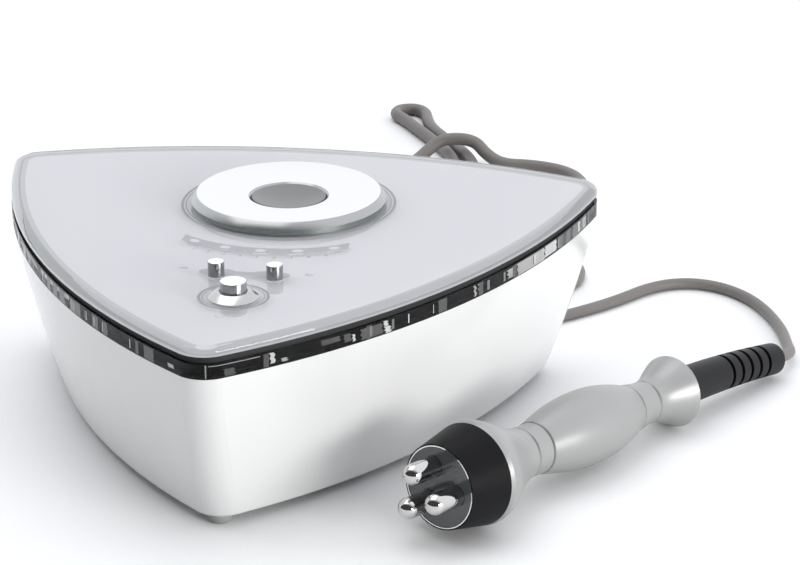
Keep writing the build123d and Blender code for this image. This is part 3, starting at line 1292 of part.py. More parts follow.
pieces = {
    "shell_tub": shell_tub(),
    "side_band_right": side_band(BAND_SEAM_ANGLE, BAND_CORNER_ANGLE),
    "side_band_rear": side_band(BAND_CORNER_ANGLE, 180 - BAND_CORNER_ANGLE),
    "side_band_left": side_band(180 - BAND_CORNER_ANGLE, 360 + BAND_SEAM_ANGLE),
    "band_gasket": band_gasket(),
    "carrier_deck": carrier_deck(),
    "printed_sheet": printed_sheet(),
    "lid_plate": top_lid(),
    "rest_ring": rest_ring(),
    "rest_dish": rest_dish(),
    "rest_nut": rest_nut(),
    "level_down_button": level_button(-1),
    "level_up_button": level_button(1),
    "level_switches": level_switches(),
    "power_button": power_button(),
    "power_bezel": power_bezel(),
    "bezel_nut": bezel_nut(),
    "power_switch": power_switch(),
    "control_board": control_board(),
    "board_screws": small_screws(board_screw_places(), BOARD_TOP_Z - BOARD_THICKNESS),
    "level_leds": level_leds(),
    "light_guides": light_guides(),
    "rf_board": rf_board(),
    "rf_board_screws": rf_board_screws(),
    "rf_core": framed_core(RF_CORE_SIZE, RF_CORE_DEPTH, RF_CORE_HEIGHT, RF_CORE_LEG, RF_CORE_X, RF_BOARD_Y,
                           RF_BOARD_TOP_Z),
    "rf_coil": framed_winding(RF_CORE_SIZE, RF_CORE_DEPTH, RF_CORE_HEIGHT, RF_CORE_LEG, RF_COIL_DEPTH,
                              RF_CORE_X, RF_BOARD_Y, RF_BOARD_TOP_Z),
    "heat_sink": heat_sink(),
    "capacitors": capacitors(),
    "mains_core": framed_core(MAINS_CORE_LENGTH, MAINS_CORE_DEPTH, MAINS_CORE_HEIGHT, MAINS_CORE_LEG,
                              MAINS_CORE_X, MAINS_CORE_Y, FLOOR_Z),
    "mains_coil": framed_winding(MAINS_CORE_LENGTH, MAINS_CORE_DEPTH, MAINS_CORE_HEIGHT, MAINS_CORE_LEG,
                                 MAINS_COIL_DEPTH, MAINS_CORE_X, MAINS_CORE_Y, FLOOR_Z),
    "rear_panel": rear_panel(),
    "rear_panel_screws": panel_screws(),
    "handpiece_socket": hand_socket(),
    "socket_nut": socket_nut(),
    "fuse_holder": fuse_holder(),
    "mains_gland": mains_gland(),
    "rubber_feet": rubber_feet(),
    "case_screws": case_screws(),
    "head_barrel": laid(head_barrel()),
    "face_trim": laid(face_trim()),
    "face_plate": laid(face_plate()),
    "electrode_carrier": laid(electrode_carrier()),
    "electrode_nuts": laid(electrode_nuts()),
    "front_cone": laid(front_cone()),
    "grip_shell": laid(grip_shell()),
    "handle_board": laid(handle_board()),
    "tail_cone": laid(tail_cone()),
    "tail_plug": laid(tail_plug()),
    "strain_relief": strain_relief(),
}
for number, place in enumerate(electrode_places(), start=1):
    pieces["electrode_" + str(number)] = laid(electrode(place))

# What lies on the cords isn't part of the box that sets the origin
cord_pieces = {
    "handpiece_cord": cord("handpiece cord", hand_cord_points(), HAND_CORD_RADIUS),
    "handpiece_cord_coil": cord_coil(
        "handpiece cord coil", HAND_COIL_CENTRE, HAND_COIL_RADIUS, HAND_CORD_RADIUS, HAND_COIL_Z,
        HAND_COIL_LEAD, 1),
    "handpiece_cord_tail": cord("handpiece cord tail", hand_tail_points(), HAND_CORD_RADIUS),
    "handpiece_plug": hand_plug(),
    "mains_cord": cord("mains cord", mains_points(), MAINS_CORD_RADIUS),
    "mains_cord_coil": cord_coil(
        "mains cord coil", MAINS_COIL_CENTRE, MAINS_COIL_RADIUS, MAINS_CORD_RADIUS, MAINS_COIL_Z,
        MAINS_COIL_LEAD, -1),
    "mains_cord_tail": cord("mains cord tail", mains_tail_points(), MAINS_CORD_RADIUS),
    "mains_plug": mains_plug(),
}

boxes = [piece.bounding_box() for piece in pieces.values()]
middle_x = (min(box.min.X for box in boxes) + max(box.max.X for box in boxes)) / 2
middle_y = (min(box.min.Y for box in boxes) + max(box.max.Y for box in boxes)) / 2
print("origin lies at", round(middle_x, 3), round(middle_y, 3), "from the plan's middle")
pieces.update(cord_pieces)
for name, piece in pieces.items():
    export_step(Pos(-middle_x, -middle_y, 0) * piece, "parts/" + name + ".step")
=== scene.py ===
import math

import bmesh
import bpy
from mathutils import Matrix, Vector


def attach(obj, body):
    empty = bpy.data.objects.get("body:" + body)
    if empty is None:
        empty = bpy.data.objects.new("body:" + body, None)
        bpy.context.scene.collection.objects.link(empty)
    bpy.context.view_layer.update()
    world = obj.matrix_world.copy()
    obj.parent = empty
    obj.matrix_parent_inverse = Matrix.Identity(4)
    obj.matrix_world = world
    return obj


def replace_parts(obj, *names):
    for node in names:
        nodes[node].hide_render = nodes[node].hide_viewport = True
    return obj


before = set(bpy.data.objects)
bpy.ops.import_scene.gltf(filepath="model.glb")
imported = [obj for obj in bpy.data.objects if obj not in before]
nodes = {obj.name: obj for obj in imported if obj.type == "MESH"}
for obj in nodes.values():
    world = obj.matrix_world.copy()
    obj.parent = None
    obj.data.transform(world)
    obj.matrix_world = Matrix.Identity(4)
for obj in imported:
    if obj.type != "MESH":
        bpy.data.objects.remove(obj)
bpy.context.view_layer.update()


# Camera
# A long lens a little over a metre away, as a catalogue photograph has, so the console's sides
# hardly converge. It looks down on the front corner from slightly right of the middle.
CAMERA_DIP = 0.365
CAMERA_ROLL = 0.0019
CAMERA_TURN = 0.1592


def in_scene(name, data):
    """Object with this data, linked to the scene."""
    piece = bpy.data.objects.new(name, data)
    bpy.context.scene.collection.objects.link(piece)
    return piece


camera_data = bpy.data.cameras.new("catalogue_camera")
camera_data.lens = 135.0
camera_data.sensor_width = 36.0
camera = in_scene("catalogue_camera", camera_data)
camera.location = (0.2136, -1.2226, 0.5469)
camera.rotation_euler = (math.pi / 2 - CAMERA_DIP, CAMERA_ROLL, CAMERA_TURN)
bpy.context.scene.camera = camera
bpy.context.scene.view_settings.view_transform = "Standard"


# Cords
# Two round cords in warm grey PVC. The thinner one joins the handpiece to the socket at the back,
# the thicker one is the mains lead. What the photograph hides is coiled up behind the console.
ORIGIN_X = 45.17
ORIGIN_Y = -56.985
HAND_CORD_RADIUS = 2.75
MAINS_CORD_RADIUS = 3.5
COIL_GAP = 2.2
COIL_HALF_LOOPS = 4
POINTS_PER_HALF_LOOP = 8


def place(x, y, z):
    """Metres in the shared frame, from millimetres about the middle of the console's plan."""
    return Vector(((x - ORIGIN_X) / 1000, (y - ORIGIN_Y) / 1000, z / 1000))


def coil_points(centre, reach, radius, low, heading):
    """Control points of a put-away coil: two loops inwards, a climb, and two loops out on top."""
    pitch = 2 * radius + COIL_GAP
    steps = [reach - index * pitch / 2 for index in range(COIL_HALF_LOOPS + 1)]
    steps += [steps[-1] + index * pitch / 2 for index in range(COIL_HALF_LOOPS)]
    outwards = 1 / math.cos(math.pi / (2 * POINTS_PER_HALF_LOOP))
    points = []
    side = -1
    for index in range(2 * COIL_HALF_LOOPS):
        middle = centre[0] + side * (steps[index] - steps[index + 1]) / 2
        bend = (steps[index] + steps[index + 1]) / 2 * outwards
        way = heading if side < 0 else -heading
        for count in range(POINTS_PER_HALF_LOOP):
            share = (count + 0.5) / POINTS_PER_HALF_LOOP
            climb = 0 if index < COIL_HALF_LOOPS else pitch
            if index == COIL_HALF_LOOPS:
                climb = pitch * share
            across = side * bend * math.cos(math.pi * share)
            along = way * bend * math.sin(math.pi * share)
            points.append((middle + across, centre[1] + along, low + climb))
        side = -side
    return points


def cord_curve(name, route, radius):
    """Round cord along one open NURBS spline whose control points are the route's."""
    curve = bpy.data.curves.new(name, "CURVE")
    curve.dimensions = "3D"
    curve.bevel_depth = radius / 1000
    curve.bevel_resolution = 4
    curve.resolution_u = 6
    curve.use_fill_caps = True
    spline = curve.splines.new("NURBS")
    spline.points.add(len(route) - 1)
    for point, spot in zip(spline.points, route):
        point.co = (*place(*spot), 1.0)
    spline.order_u = 3
    spline.use_endpoint_u = True
    return in_scene(name, curve)


RELIEF_END = (224.6, 40.1, 8.4)
HAND_Z = 2.85
HAND_ROUTE = [
    RELIEF_END, (232.37, 51.54, 6.21), (229.8, 68.0, 3.8), (226.5, 90.0, HAND_Z),
    (219.0, 112.0, HAND_Z), (208.0, 132.0, HAND_Z), (192.0, 146.0, HAND_Z), (174.0, 148.5, HAND_Z),
    (158.0, 139.0, HAND_Z), (142.5, 116.5, HAND_Z), (124.0, 97.0, HAND_Z), (104.0, 80.0, HAND_Z),
    (80.0, 82.0, HAND_Z), (61.0, 96.0, HAND_Z), (51.0, 116.0, HAND_Z), (51.0, 138.0, HAND_Z)]
HAND_COIL = coil_points((88.0, 150.0), 37.0, HAND_CORD_RADIUS, HAND_Z, 1)
HAND_TAIL = [
    (54.85, 162.0, 10.55), (54.85, 174.0, 10.55), (51.0, 187.5, 7.6), (42.0, 198.5, 4.2),
    (28.5, 201.5, HAND_Z), (15.5, 196.5, HAND_Z), (7.5, 185.5, HAND_Z), (6.0, 171.0, 3.6),
    (10.0, 156.5, 7.6), (16.5, 143.5, 14.2), (24.5, 131.0, 22.4), (32.0, 118.5, 29.6),
    (36.0, 102.4, 33.5), (36.0, 90.4, 33.5)]
hand_cord = cord_curve("handpiece_lead", HAND_ROUTE + HAND_COIL + HAND_TAIL, HAND_CORD_RADIUS)

MAINS_START = (-35.0, 73.0, 33.5)
MAINS_Z = 3.6
MAINS_ROUTE = [
    MAINS_START, (-35.0, 87.0, 33.5), (-34.5, 101.5, 29.6), (-34.0, 116.0, 21.6),
    (-33.0, 130.5, 11.8), (-32.0, 146.0, 5.4), (-31.0, 164.0, MAINS_Z), (-29.5, 186.0, MAINS_Z),
    (-26.0, 209.0, MAINS_Z), (-14.0, 236.0, MAINS_Z), (8.0, 259.0, MAINS_Z), (27.0, 282.0, MAINS_Z),
    (35.5, 306.0, MAINS_Z), (28.5, 330.0, MAINS_Z), (15.5, 353.5, MAINS_Z), (1.5, 376.0, MAINS_Z),
    (-7.5, 391.0, MAINS_Z), (-15.2, 400.3, MAINS_Z), (-13.6, 409.6, MAINS_Z),
    (-4.8, 412.9, MAINS_Z), (2.2, 406.7, MAINS_Z), (4.8, 397.0, MAINS_Z), (8.5, 381.0, MAINS_Z),
    (21.0, 358.5, MAINS_Z), (36.0, 335.0, MAINS_Z), (45.0, 311.0, MAINS_Z), (45.0, 292.0, MAINS_Z),
    (46.0, 275.0, MAINS_Z), (58.0, 258.5, MAINS_Z), (77.0, 252.5, MAINS_Z), (96.0, 258.5, MAINS_Z),
    (108.0, 275.0, MAINS_Z), (108.0, 295.0, MAINS_Z), (96.0, 311.5, MAINS_Z),
    (77.0, 318.5, MAINS_Z), (60.0, 317.5, MAINS_Z), (50.0, 322.5, 7.4), (42.0, 329.5, 13.8),
    (24.0, 328.5, 13.8), (16.5, 321.5, 8.4), (10.5, 312.0, 4.0), (-1.0, 300.0, MAINS_Z),
    (-16.0, 287.0, MAINS_Z), (-33.0, 276.0, MAINS_Z), (-56.0, 268.0, MAINS_Z),
    (-84.0, 263.0, MAINS_Z), (-113.0, 252.0, MAINS_Z), (-137.0, 232.0, MAINS_Z),
    (-148.0, 205.0, MAINS_Z), (-148.0, 179.0, MAINS_Z)]
MAINS_COIL = coil_points((-101.0, 165.0), 47.0, MAINS_CORD_RADIUS, MAINS_Z, -1)
MAINS_TAIL = [
    (-143.4, 151.0, 12.8), (-143.4, 137.0, 12.8), (-141.5, 122.5, 10.2), (-134.0, 109.5, 8.0),
    (-121.5, 100.5, 7.0), (-108.0, 97.0, 6.8), (-95.0, 97.0, 6.8)]
mains_cord = cord_curve("mains_lead", MAINS_ROUTE + MAINS_COIL + MAINS_TAIL, MAINS_CORD_RADIUS)


def add_node(tree, kind, sockets=(), **settings):
    """Node with its settings. Each socket named takes a link from another node, or a value."""
    node = tree.nodes.new(kind)
    for setting, value in settings.items():
        setattr(node, setting, value)
    for socket, given in dict(sockets).items():
        if isinstance(given, bpy.types.NodeSocket):
            tree.links.new(given, node.inputs[socket])
        else:
            node.inputs[socket].default_value = given
    return node


def effect_group(name, given, result):
    """Shader node group with named inputs and outputs, each a name and a kind of socket."""
    group = bpy.data.node_groups.new(name, "ShaderNodeTree")
    for way, sockets in (("INPUT", given), ("OUTPUT", result)):
        for socket, kind in sockets:
            group.interface.new_socket(name=socket, in_out=way, socket_type="NodeSocket" + kind)
    return group


def uneven_gloss(group, noise, given):
    """A noise's swing about nothing, and the roughness that it makes with the group's inputs."""
    swing = add_node(group, "ShaderNodeMath", {0: noise, 1: 0.5}, operation="SUBTRACT").outputs[0]
    gloss = add_node(group, "ShaderNodeMath", {
        0: swing, 1: given["Spread"], 2: given["Roughness"]}, operation="MULTIPLY_ADD")
    return swing, gloss.outputs[0]


def moulded_surface_group():
    """Shared effect: slow changes of gloss, a fine skin of bumps, and slight shifts of colour."""
    group = effect_group("moulded_surface", (
        ("Colour", "Color"), ("Shift", "Float"), ("Roughness", "Float"), ("Spread", "Float"),
        ("Grains per metre", "Float"), ("Height", "Float")), (
        ("Colour", "Color"), ("Roughness", "Float"), ("Normal", "Vector")))
    given = add_node(group, "NodeGroupInput").outputs
    where = add_node(group, "ShaderNodeTexCoord").outputs["Object"]
    clouds = add_node(group, "ShaderNodeTexNoise", {"Vector": where, "Scale": 28.0, "Detail": 3.0})
    swing, gloss = uneven_gloss(group, clouds.outputs["Fac"], given)
    tint = add_node(group, "ShaderNodeMath", {
        0: swing, 1: given["Shift"], 2: 1.0}, operation="MULTIPLY_ADD")
    shade = add_node(group, "ShaderNodeHueSaturation", {
        "Color": given["Colour"], "Value": tint.outputs[0]})
    grain = add_node(group, "ShaderNodeTexNoise", {
        "Vector": where, "Scale": given["Grains per metre"], "Detail": 2.0})
    bump = add_node(group, "ShaderNodeBump", {
        "Strength": 1.0, "Height": grain.outputs["Fac"], "Distance": given["Height"]})
    add_node(group, "NodeGroupOutput", {
        "Colour": shade.outputs["Color"], "Roughness": gloss, "Normal": bump.outputs["Normal"]})
    return group


def new_material(name, colour, roughness, sockets):
    """Material with one Principled shader, and its values for these sockets."""
    material = bpy.data.materials.new(name)
    material.use_nodes = True
    shader = material.node_tree.nodes["Principled BSDF"]
    sockets = {"Base Color": (*colour, 1.0), "Roughness": roughness, **dict(sockets)}
    for socket, value in sockets.items():
        shader.inputs[socket].default_value = value
    return material


def put_effect(material, group, values, sockets):
    """Place a shared effect in a material with its own values, and let it feed these sockets."""
    tree = material.node_tree
    effect = add_node(tree, "ShaderNodeGroup", values, node_tree=group)
    for result, socket in sockets:
        tree.links.new(effect.outputs[result], tree.nodes["Principled BSDF"].inputs[socket])


moulded_surface = moulded_surface_group()
COAT_ROUGHNESS = 0.04
METAL = {"Metallic": 1.0}


def surfaced(name, colour, roughness, shift=0.05, spread=0.06, grains=900.0, height=0.00002,
             coat=0.0, sockets=()):
    """Plastic, rubber, paint or plain metal with the shared surface effect."""
    material = new_material(name, colour, roughness, {
        "Coat Weight": coat, "Coat Roughness": COAT_ROUGHNESS, **dict(sockets)})
    put_effect(material, moulded_surface, {
        "Colour": (*colour, 1.0), "Shift": shift, "Roughness": roughness, "Spread": spread,
        "Grains per metre": grains, "Height": height}, (
        ("Colour", "Base Color"), ("Roughness", "Roughness"), ("Normal", "Normal")))
    return material


def dress(material, *names):
    """Give CAD nodes a material in every slot."""
    for name in names:
        for slot in nodes[name].material_slots:
            slot.material = material


cord_grey = surfaced("cord_grey_pvc", (0.175, 0.162, 0.154), 0.48, shift=0.14, spread=0.12,
                     grains=700.0, height=0.00004)
for cord in (hand_cord, mains_cord):
    cord.data.materials.append(cord_grey)
    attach(cord, "console")
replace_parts(hand_cord, "handpiece_cord", "handpiece_cord_coil", "handpiece_cord_tail")
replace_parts(mains_cord, "mains_cord", "mains_cord_coil", "mains_cord_tail")


# Floor and light
# White table top under a bright ceiling and back wall, with a low soft box in front on the right
# and a large one overhead. The room in front is dim, which puts dark tones into chrome.
table_shape = bmesh.new()
bmesh.ops.create_grid(table_shape, x_segments=2, y_segments=2, size=4.0)
table_mesh = bpy.data.meshes.new("table_top")
table_shape.to_mesh(table_mesh)
table_shape.free()
table_mesh.materials.append(surfaced("table_white", (0.93, 0.935, 0.94), 0.6, shift=0.01,
                                     spread=0.02, grains=40.0, height=0.0))
in_scene("table_top", table_mesh)

BRIGHT_WAY = (0.20, 0.87, 0.44)
world = bpy.data.worlds.new("studio")
bpy.context.scene.world = world
world.use_nodes = True
room = world.node_tree
looking = add_node(room, "ShaderNodeTexCoord").outputs["Generated"]
slope = add_node(room, "ShaderNodeVectorMath", {0: looking, 1: BRIGHT_WAY}, operation="DOT_PRODUCT")
fade = add_node(room, "ShaderNodeMapRange", {
    "Value": slope.outputs["Value"], "From Min": -0.2, "From Max": 0.3, "To Min": 0.07,
    "To Max": 1.25})
backdrop = room.nodes["Background"]
backdrop.inputs["Color"].default_value = (0.95, 0.965, 1.0, 1.0)
room.links.new(fade.outputs["Result"], backdrop.inputs["Strength"])


def soft_box(name, spot, aim, width, height, power, colour):
    """Rectangular soft box pointing at a spot on the table."""
    light = bpy.data.lights.new(name, "AREA")
    light.shape = "RECTANGLE"
    light.size = width
    light.size_y = height
    light.energy = power
    light.color = colour
    lamp = in_scene(name, light)
    lamp.location = spot
    lamp.rotation_euler = (Vector(aim) - Vector(spot)).to_track_quat("-Z", "Y").to_euler()


soft_box("right_box", (1.25, -0.8, 0.30), (0.0, 0.0, 0.06), width=0.9, height=0.4, power=14.0,
         colour=(1.0, 0.99, 0.97))
soft_box("top_box", (-0.5, 0.1, 1.6), (-0.15, 0.0, 0.0), width=1.6, height=1.4, power=9.0,
         colour=(1.0, 1.0, 1.0))


# Lower shell
# Tapered tub in gloss white ABS, injection moulded in one piece. It stands on three clear rubber
# feet pressed into the recesses of the case screws.
dress(surfaced("shell_gloss_white", (0.74, 0.745, 0.74), 0.16, shift=0.015, spread=0.04,
               grains=260.0, height=0.00001, coat=0.25), "shell_tub")
dress(surfaced("foot_clear_rubber", (0.78, 0.80, 0.79), 0.3, shift=0.08, spread=0.1, grains=500.0,
               height=0.00004, sockets={"Transmission Weight": 0.55, "IOR": 1.42}), "rubber_feet")


# Clear band and black gasket
# A smoky acrylic strip in three lengths closes the gap between tub and lid. The light that its
# ribs and cast flaws catch is painted light here: thin bars and ragged patches at its face, in a
# bright painted glint and pale, grey and dim painted reflections. A black foam gasket sits above
# it, under the lid.
BAND_LOW = 77.0
BAND_HIGH = 83.8
BAND_MIDDLE = (BAND_LOW + BAND_HIGH) / 2
SIDE_RADIUS = 362.4
SIDE_CENTRE = (217.0, 99.3)
BACK_RADIUS = 358.5
BACK_CENTRE_Y = -285.2
CORNER_RADIUS = 14.0


def let_light_by(material, tint=(1.0, 1.0, 1.0)):
    """Shadow rays go straight through the material and take on a tint."""
    tree = material.node_tree
    path = add_node(tree, "ShaderNodeLightPath")
    through = add_node(tree, "ShaderNodeBsdfTransparent", {"Color": (*tint, 1.0)})
    choose = add_node(tree, "ShaderNodeMixShader", {
        "Fac": path.outputs["Is Shadow Ray"], 1: tree.nodes["Principled BSDF"].outputs["BSDF"],
        2: through.outputs["BSDF"]})
    tree.links.new(choose.outputs["Shader"], tree.nodes["Material Output"].inputs["Surface"])
    return material


def clear_acrylic(name, colour, roughness, ior, tint):
    """Acrylic: a plain Principled glass that lets light through to what lies under it."""
    sockets = {"Transmission Weight": 1.0, "IOR": ior}
    return let_light_by(new_material(name, colour, roughness, sockets), tint)


dress(clear_acrylic("band_smoky_acrylic", (0.22, 0.22, 0.225), 0.03, ior=1.24,
                    tint=(0.4, 0.4, 0.41)), "side_band_right", "side_band_rear", "side_band_left")
dress(surfaced("gasket_black_foam", (0.012, 0.012, 0.013), 0.7, shift=0.3, spread=0.1,
               grains=1800.0, height=0.0001), "band_gasket")


def corner_middles():
    """Centres of the outline's front, right and left corner circles, in millimetres."""
    side_reach = SIDE_RADIUS - CORNER_RADIUS
    back_reach = BACK_RADIUS - CORNER_RADIUS
    front = Vector((0, SIDE_CENTRE[1] - math.sqrt(side_reach ** 2 - SIDE_CENTRE[0] ** 2)))
    left_centre = Vector((-SIDE_CENTRE[0], SIDE_CENTRE[1]))
    across = Vector((0, BACK_CENTRE_Y)) - left_centre
    along = (side_reach ** 2 - back_reach ** 2 + across.length_squared) / (2 * across.length)
    aside = math.sqrt(side_reach ** 2 - along ** 2)
    forward = across.normalized()
    right = left_centre + forward * along + Vector((-forward.y, forward.x)) * aside
    return front, right, Vector((-right.x, right.y))


def outline(inset, step):
    """Points round the console's plan, drawn inwards by inset, about a step apart."""
    front, right, left = corner_middles()
    sides = ((Vector((-SIDE_CENTRE[0], SIDE_CENTRE[1])), SIDE_RADIUS, front, right),
             (Vector((0, BACK_CENTRE_Y)), BACK_RADIUS, right, left),
             (Vector(SIDE_CENTRE), SIDE_RADIUS, left, front))
    arcs, stops = [], []
    for centre, radius, start, end in sides:
        arcs += [(centre, radius - inset), (end, CORNER_RADIUS - inset)]
        for spot in (start, end):
            stops.append(centre + (spot - centre).normalized() * (radius - inset))
    points = []
    for index, (centre, radius) in enumerate(arcs):
        first = stops[index] - centre
        last = stops[(index + 1) % len(stops)] - centre
        turn = (math.atan2(last.y, last.x) - math.atan2(first.y, first.x)) % (2 * math.pi)
        count = max(2, round(turn * radius / step))
        for part in range(count):
            angle = math.atan2(first.y, first.x) + turn * part / count
            points.append(centre + Vector((math.cos(angle), math.sin(angle))) * radius)
    return points


def carrier_line(name, points, z):
    """Poly curve through points in millimetres, to carry a Geometry Nodes tree."""
    curve = bpy.data.curves.new(name, "CURVE")
    curve.dimensions = "3D"
    spline = curve.splines.new("POLY")
    spline.points.add(len(points) - 1)
    for point, spot in zip(spline.points, points):
        point.co = (*place(spot.x, spot.y, z), 1.0)
    return in_scene(name, curve)


def painted_bar_tree(material):
    """Painted light bars along a line: upright, uneven in width and spacing, each turned along it.
    """
    tree = bpy.data.node_groups.new("band_painted_light_bars", "GeometryNodeTree")
    for name, way, kind in (
            ("Geometry", "INPUT", "Geometry"), ("Spacing", "INPUT", "Float"),
            ("Height", "INPUT", "Float"), ("Depth", "INPUT", "Float"), ("Wide", "INPUT", "Float"),
            ("Narrow", "INPUT", "Float"), ("Kept share", "INPUT", "Float"),
            ("Seed", "INPUT", "Int"), ("Geometry", "OUTPUT", "Geometry")):
        tree.interface.new_socket(name=name, in_out=way, socket_type="NodeSocket" + kind)
    given = add_node(tree, "NodeGroupInput").outputs
    spread = add_node(tree, "GeometryNodeCurveToPoints", {
        "Curve": given["Geometry"], "Length": given["Spacing"]}, mode="LENGTH")
    chance = add_node(tree, "FunctionNodeRandomValue", {"Seed": given["Seed"]}, data_type="FLOAT")
    keep = add_node(tree, "ShaderNodeMath", {
        0: chance.outputs[1], 1: given["Kept share"]}, operation="LESS_THAN")
    size = add_node(tree, "ShaderNodeCombineXYZ", {
        "X": 1.0, "Y": given["Depth"], "Z": given["Height"]})
    bar = add_node(tree, "GeometryNodeMeshCube", {"Size": size.outputs["Vector"]})
    other_seed = add_node(tree, "ShaderNodeMath", {0: given["Seed"], 1: 7}, operation="ADD")
    width = add_node(tree, "FunctionNodeRandomValue", {
        2: given["Narrow"], 3: given["Wide"], "Seed": other_seed.outputs[0]}, data_type="FLOAT")
    stretch = add_node(tree, "ShaderNodeCombineXYZ", {"X": width.outputs[1], "Y": 1.0, "Z": 1.0})
    turn = add_node(tree, "FunctionNodeAlignRotationToVector", {
        "Vector": spread.outputs["Tangent"]}, axis="X", pivot_axis="Z")
    copies = add_node(tree, "GeometryNodeInstanceOnPoints", {
        "Points": spread.outputs["Points"], "Selection": keep.outputs[0],
        "Instance": bar.outputs["Mesh"], "Rotation": turn.outputs["Rotation"],
        "Scale": stretch.outputs["Vector"]})
    solid = add_node(tree, "GeometryNodeRealizeInstances", {
        "Geometry": copies.outputs["Instances"]})
    coat = add_node(tree, "GeometryNodeSetMaterial", {
        "Geometry": solid.outputs["Geometry"], "Material": material})
    add_node(tree, "NodeGroupOutput", {"Geometry": coat.outputs["Geometry"]})
    return tree


def made_mesh(name, carrier, tree, values):
    """Plain mesh of what a Geometry Nodes tree makes on a carrier, which is then removed."""
    modifier = carrier.modifiers.new("nodes", "NODES")
    modifier.node_group = tree
    for item in tree.interface.items_tree:
        if item.item_type == "SOCKET" and item.in_out == "INPUT" and item.name in values:
            modifier[item.identifier] = values[item.name]
    bpy.context.view_layer.update()
    graph = bpy.context.evaluated_depsgraph_get()
    mesh = bpy.data.meshes.new_from_object(carrier.evaluated_get(graph),
                                           preserve_all_data_layers=True, depsgraph=graph)
    mesh.name = name
    piece = in_scene(name, mesh)
    bpy.data.objects.remove(carrier)
    return piece


LINE_STEP = 2.0
CORNER_CLEAR = 4.0


def side_lines(inset):
    """The outline's three long sides, without the round corners, as lists of points."""
    middles = corner_middles()
    runs = [[]]
    for spot in outline(inset, LINE_STEP):
        if min((spot - middle).length for middle in middles) > CORNER_RADIUS + CORNER_CLEAR:
            runs[-1].append(spot)
        elif runs[-1]:
            runs.append([])
    return [run for run in runs if run]


PATCH = {"grains": 160.0, "height": 0.0, "coat": 0.3}
# Painted light in the band: a bright painted glint, and pale, grey and dim painted reflections.
painted_glint_white = surfaced("glint_painted_bright", (0.86, 0.87, 0.87), 0.12, shift=0.5, spread=0.1,
                       grains=300.0, height=0.0, coat=0.3)
painted_pale_reflection = surfaced("reflection_painted_pale", (0.62, 0.62, 0.61), 0.2, shift=0.8, spread=0.2, **PATCH)
painted_grey_reflection = surfaced("reflection_painted_grey", (0.15, 0.15, 0.148), 0.2, shift=1.1, spread=0.2, **PATCH)
painted_dim_reflection = surfaced("reflection_painted_dim", (0.045, 0.045, 0.046), 0.2, shift=1.2, spread=0.2, **PATCH)

# Each row of painted light bars: name, material, millimetres inside the face, then in metres the
# spacing, the height and the widest and narrowest bar, and last the share that is kept and the
# seed.
PAINTED_BAR_DEPTH = 0.0002
SEED_STEP = 20
painted_bar_rows = (
    ("band_painted_glint_bars", painted_glint_white, -0.03, 0.0075, 0.0040, 0.00045, 0.00012, 0.22, 5),
    ("band_painted_dim_bars", painted_dim_reflection, 0.03, 0.0085, 0.0058, 0.0070, 0.0015, 0.50, 11),
    ("band_painted_grey_bars", painted_grey_reflection, 0.0, 0.0120, 0.0044, 0.0030, 0.0006, 0.40, 3))
for name, material, inset, spacing, height, wide, narrow, share, seed in painted_bar_rows:
    for number, line_points in enumerate(side_lines(inset)):
        painted_bar_carrier = carrier_line("painted_bar_carrier", line_points, BAND_MIDDLE)
        ribs = made_mesh(f"{name}_{number + 1}", painted_bar_carrier, painted_bar_tree(material), {
            "Spacing": spacing, "Height": height, "Depth": PAINTED_BAR_DEPTH, "Wide": wide,
            "Narrow": narrow, "Kept share": share, "Seed": seed + SEED_STEP * number})
        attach(ribs, "console")


def finished(name, shape, material, body="console", merged=True):
    """Mesh object made of a bmesh, doubles merged unless merged is false, faces outwards, on its
    body.
    """
    if merged:
        bmesh.ops.remove_doubles(shape, verts=shape.verts, dist=1e-7)
    bmesh.ops.recalc_face_normals(shape, faces=shape.faces)
    mesh = bpy.data.meshes.new(name)
    shape.to_mesh(mesh)
    shape.free()
    mesh.materials.append(material)
    piece = in_scene(name, mesh)
    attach(piece, body)
    return piece


GLINT_INSET = -0.06
GLINT_STEP = 2
BEHIND_Y = 45.0
RAGGED = (0.0, 0.5, -0.35, 0.3, -0.6)
glint_face_line = outline(GLINT_INSET, 0.8)


def spot_at(x):
    """The band's outer face at x millimetres, on the right side or on the left."""
    line = [spot for spot in glint_face_line if spot.x * x >= 0 and spot.y < BEHIND_Y]
    line.sort(key=lambda spot: abs(spot.x))
    for before, after in zip(line, line[1:]):
        if abs(before.x) <= abs(x) <= abs(after.x):
            share = (abs(x) - abs(before.x)) / max(abs(after.x) - abs(before.x), 1e-6)
            return before.lerp(after, share)
    return line[-1]


def painted_light_patches(name, material, marks):
    """Ragged patches of painted light, each from one x to another and from a low to a high edge."""
    shape = bmesh.new()
    for start, stop, low, high, rough in marks:
        across = max(1, round(abs(stop - start) / GLINT_STEP))
        rows = []
        for level, shift in enumerate(RAGGED):
            z = low + (high - low) * level / (len(RAGGED) - 1)
            row = []
            for part in range(across + 1):
                spot = spot_at(start + (stop - start) * part / across + rough * shift)
                row.append(shape.verts.new(place(spot.x, spot.y, z)))
            rows.append(row)
        for below, above in zip(rows, rows[1:]):
            for part in range(across):
                shape.faces.new((below[part], below[part + 1], above[part + 1], above[part]))
    # A second skin lies in the same place, with no thickness between, and shades the patch darker.
    bmesh.ops.solidify(shape, geom=shape.faces[:], thickness=0.0)
    finished(name, shape, material, merged=False)
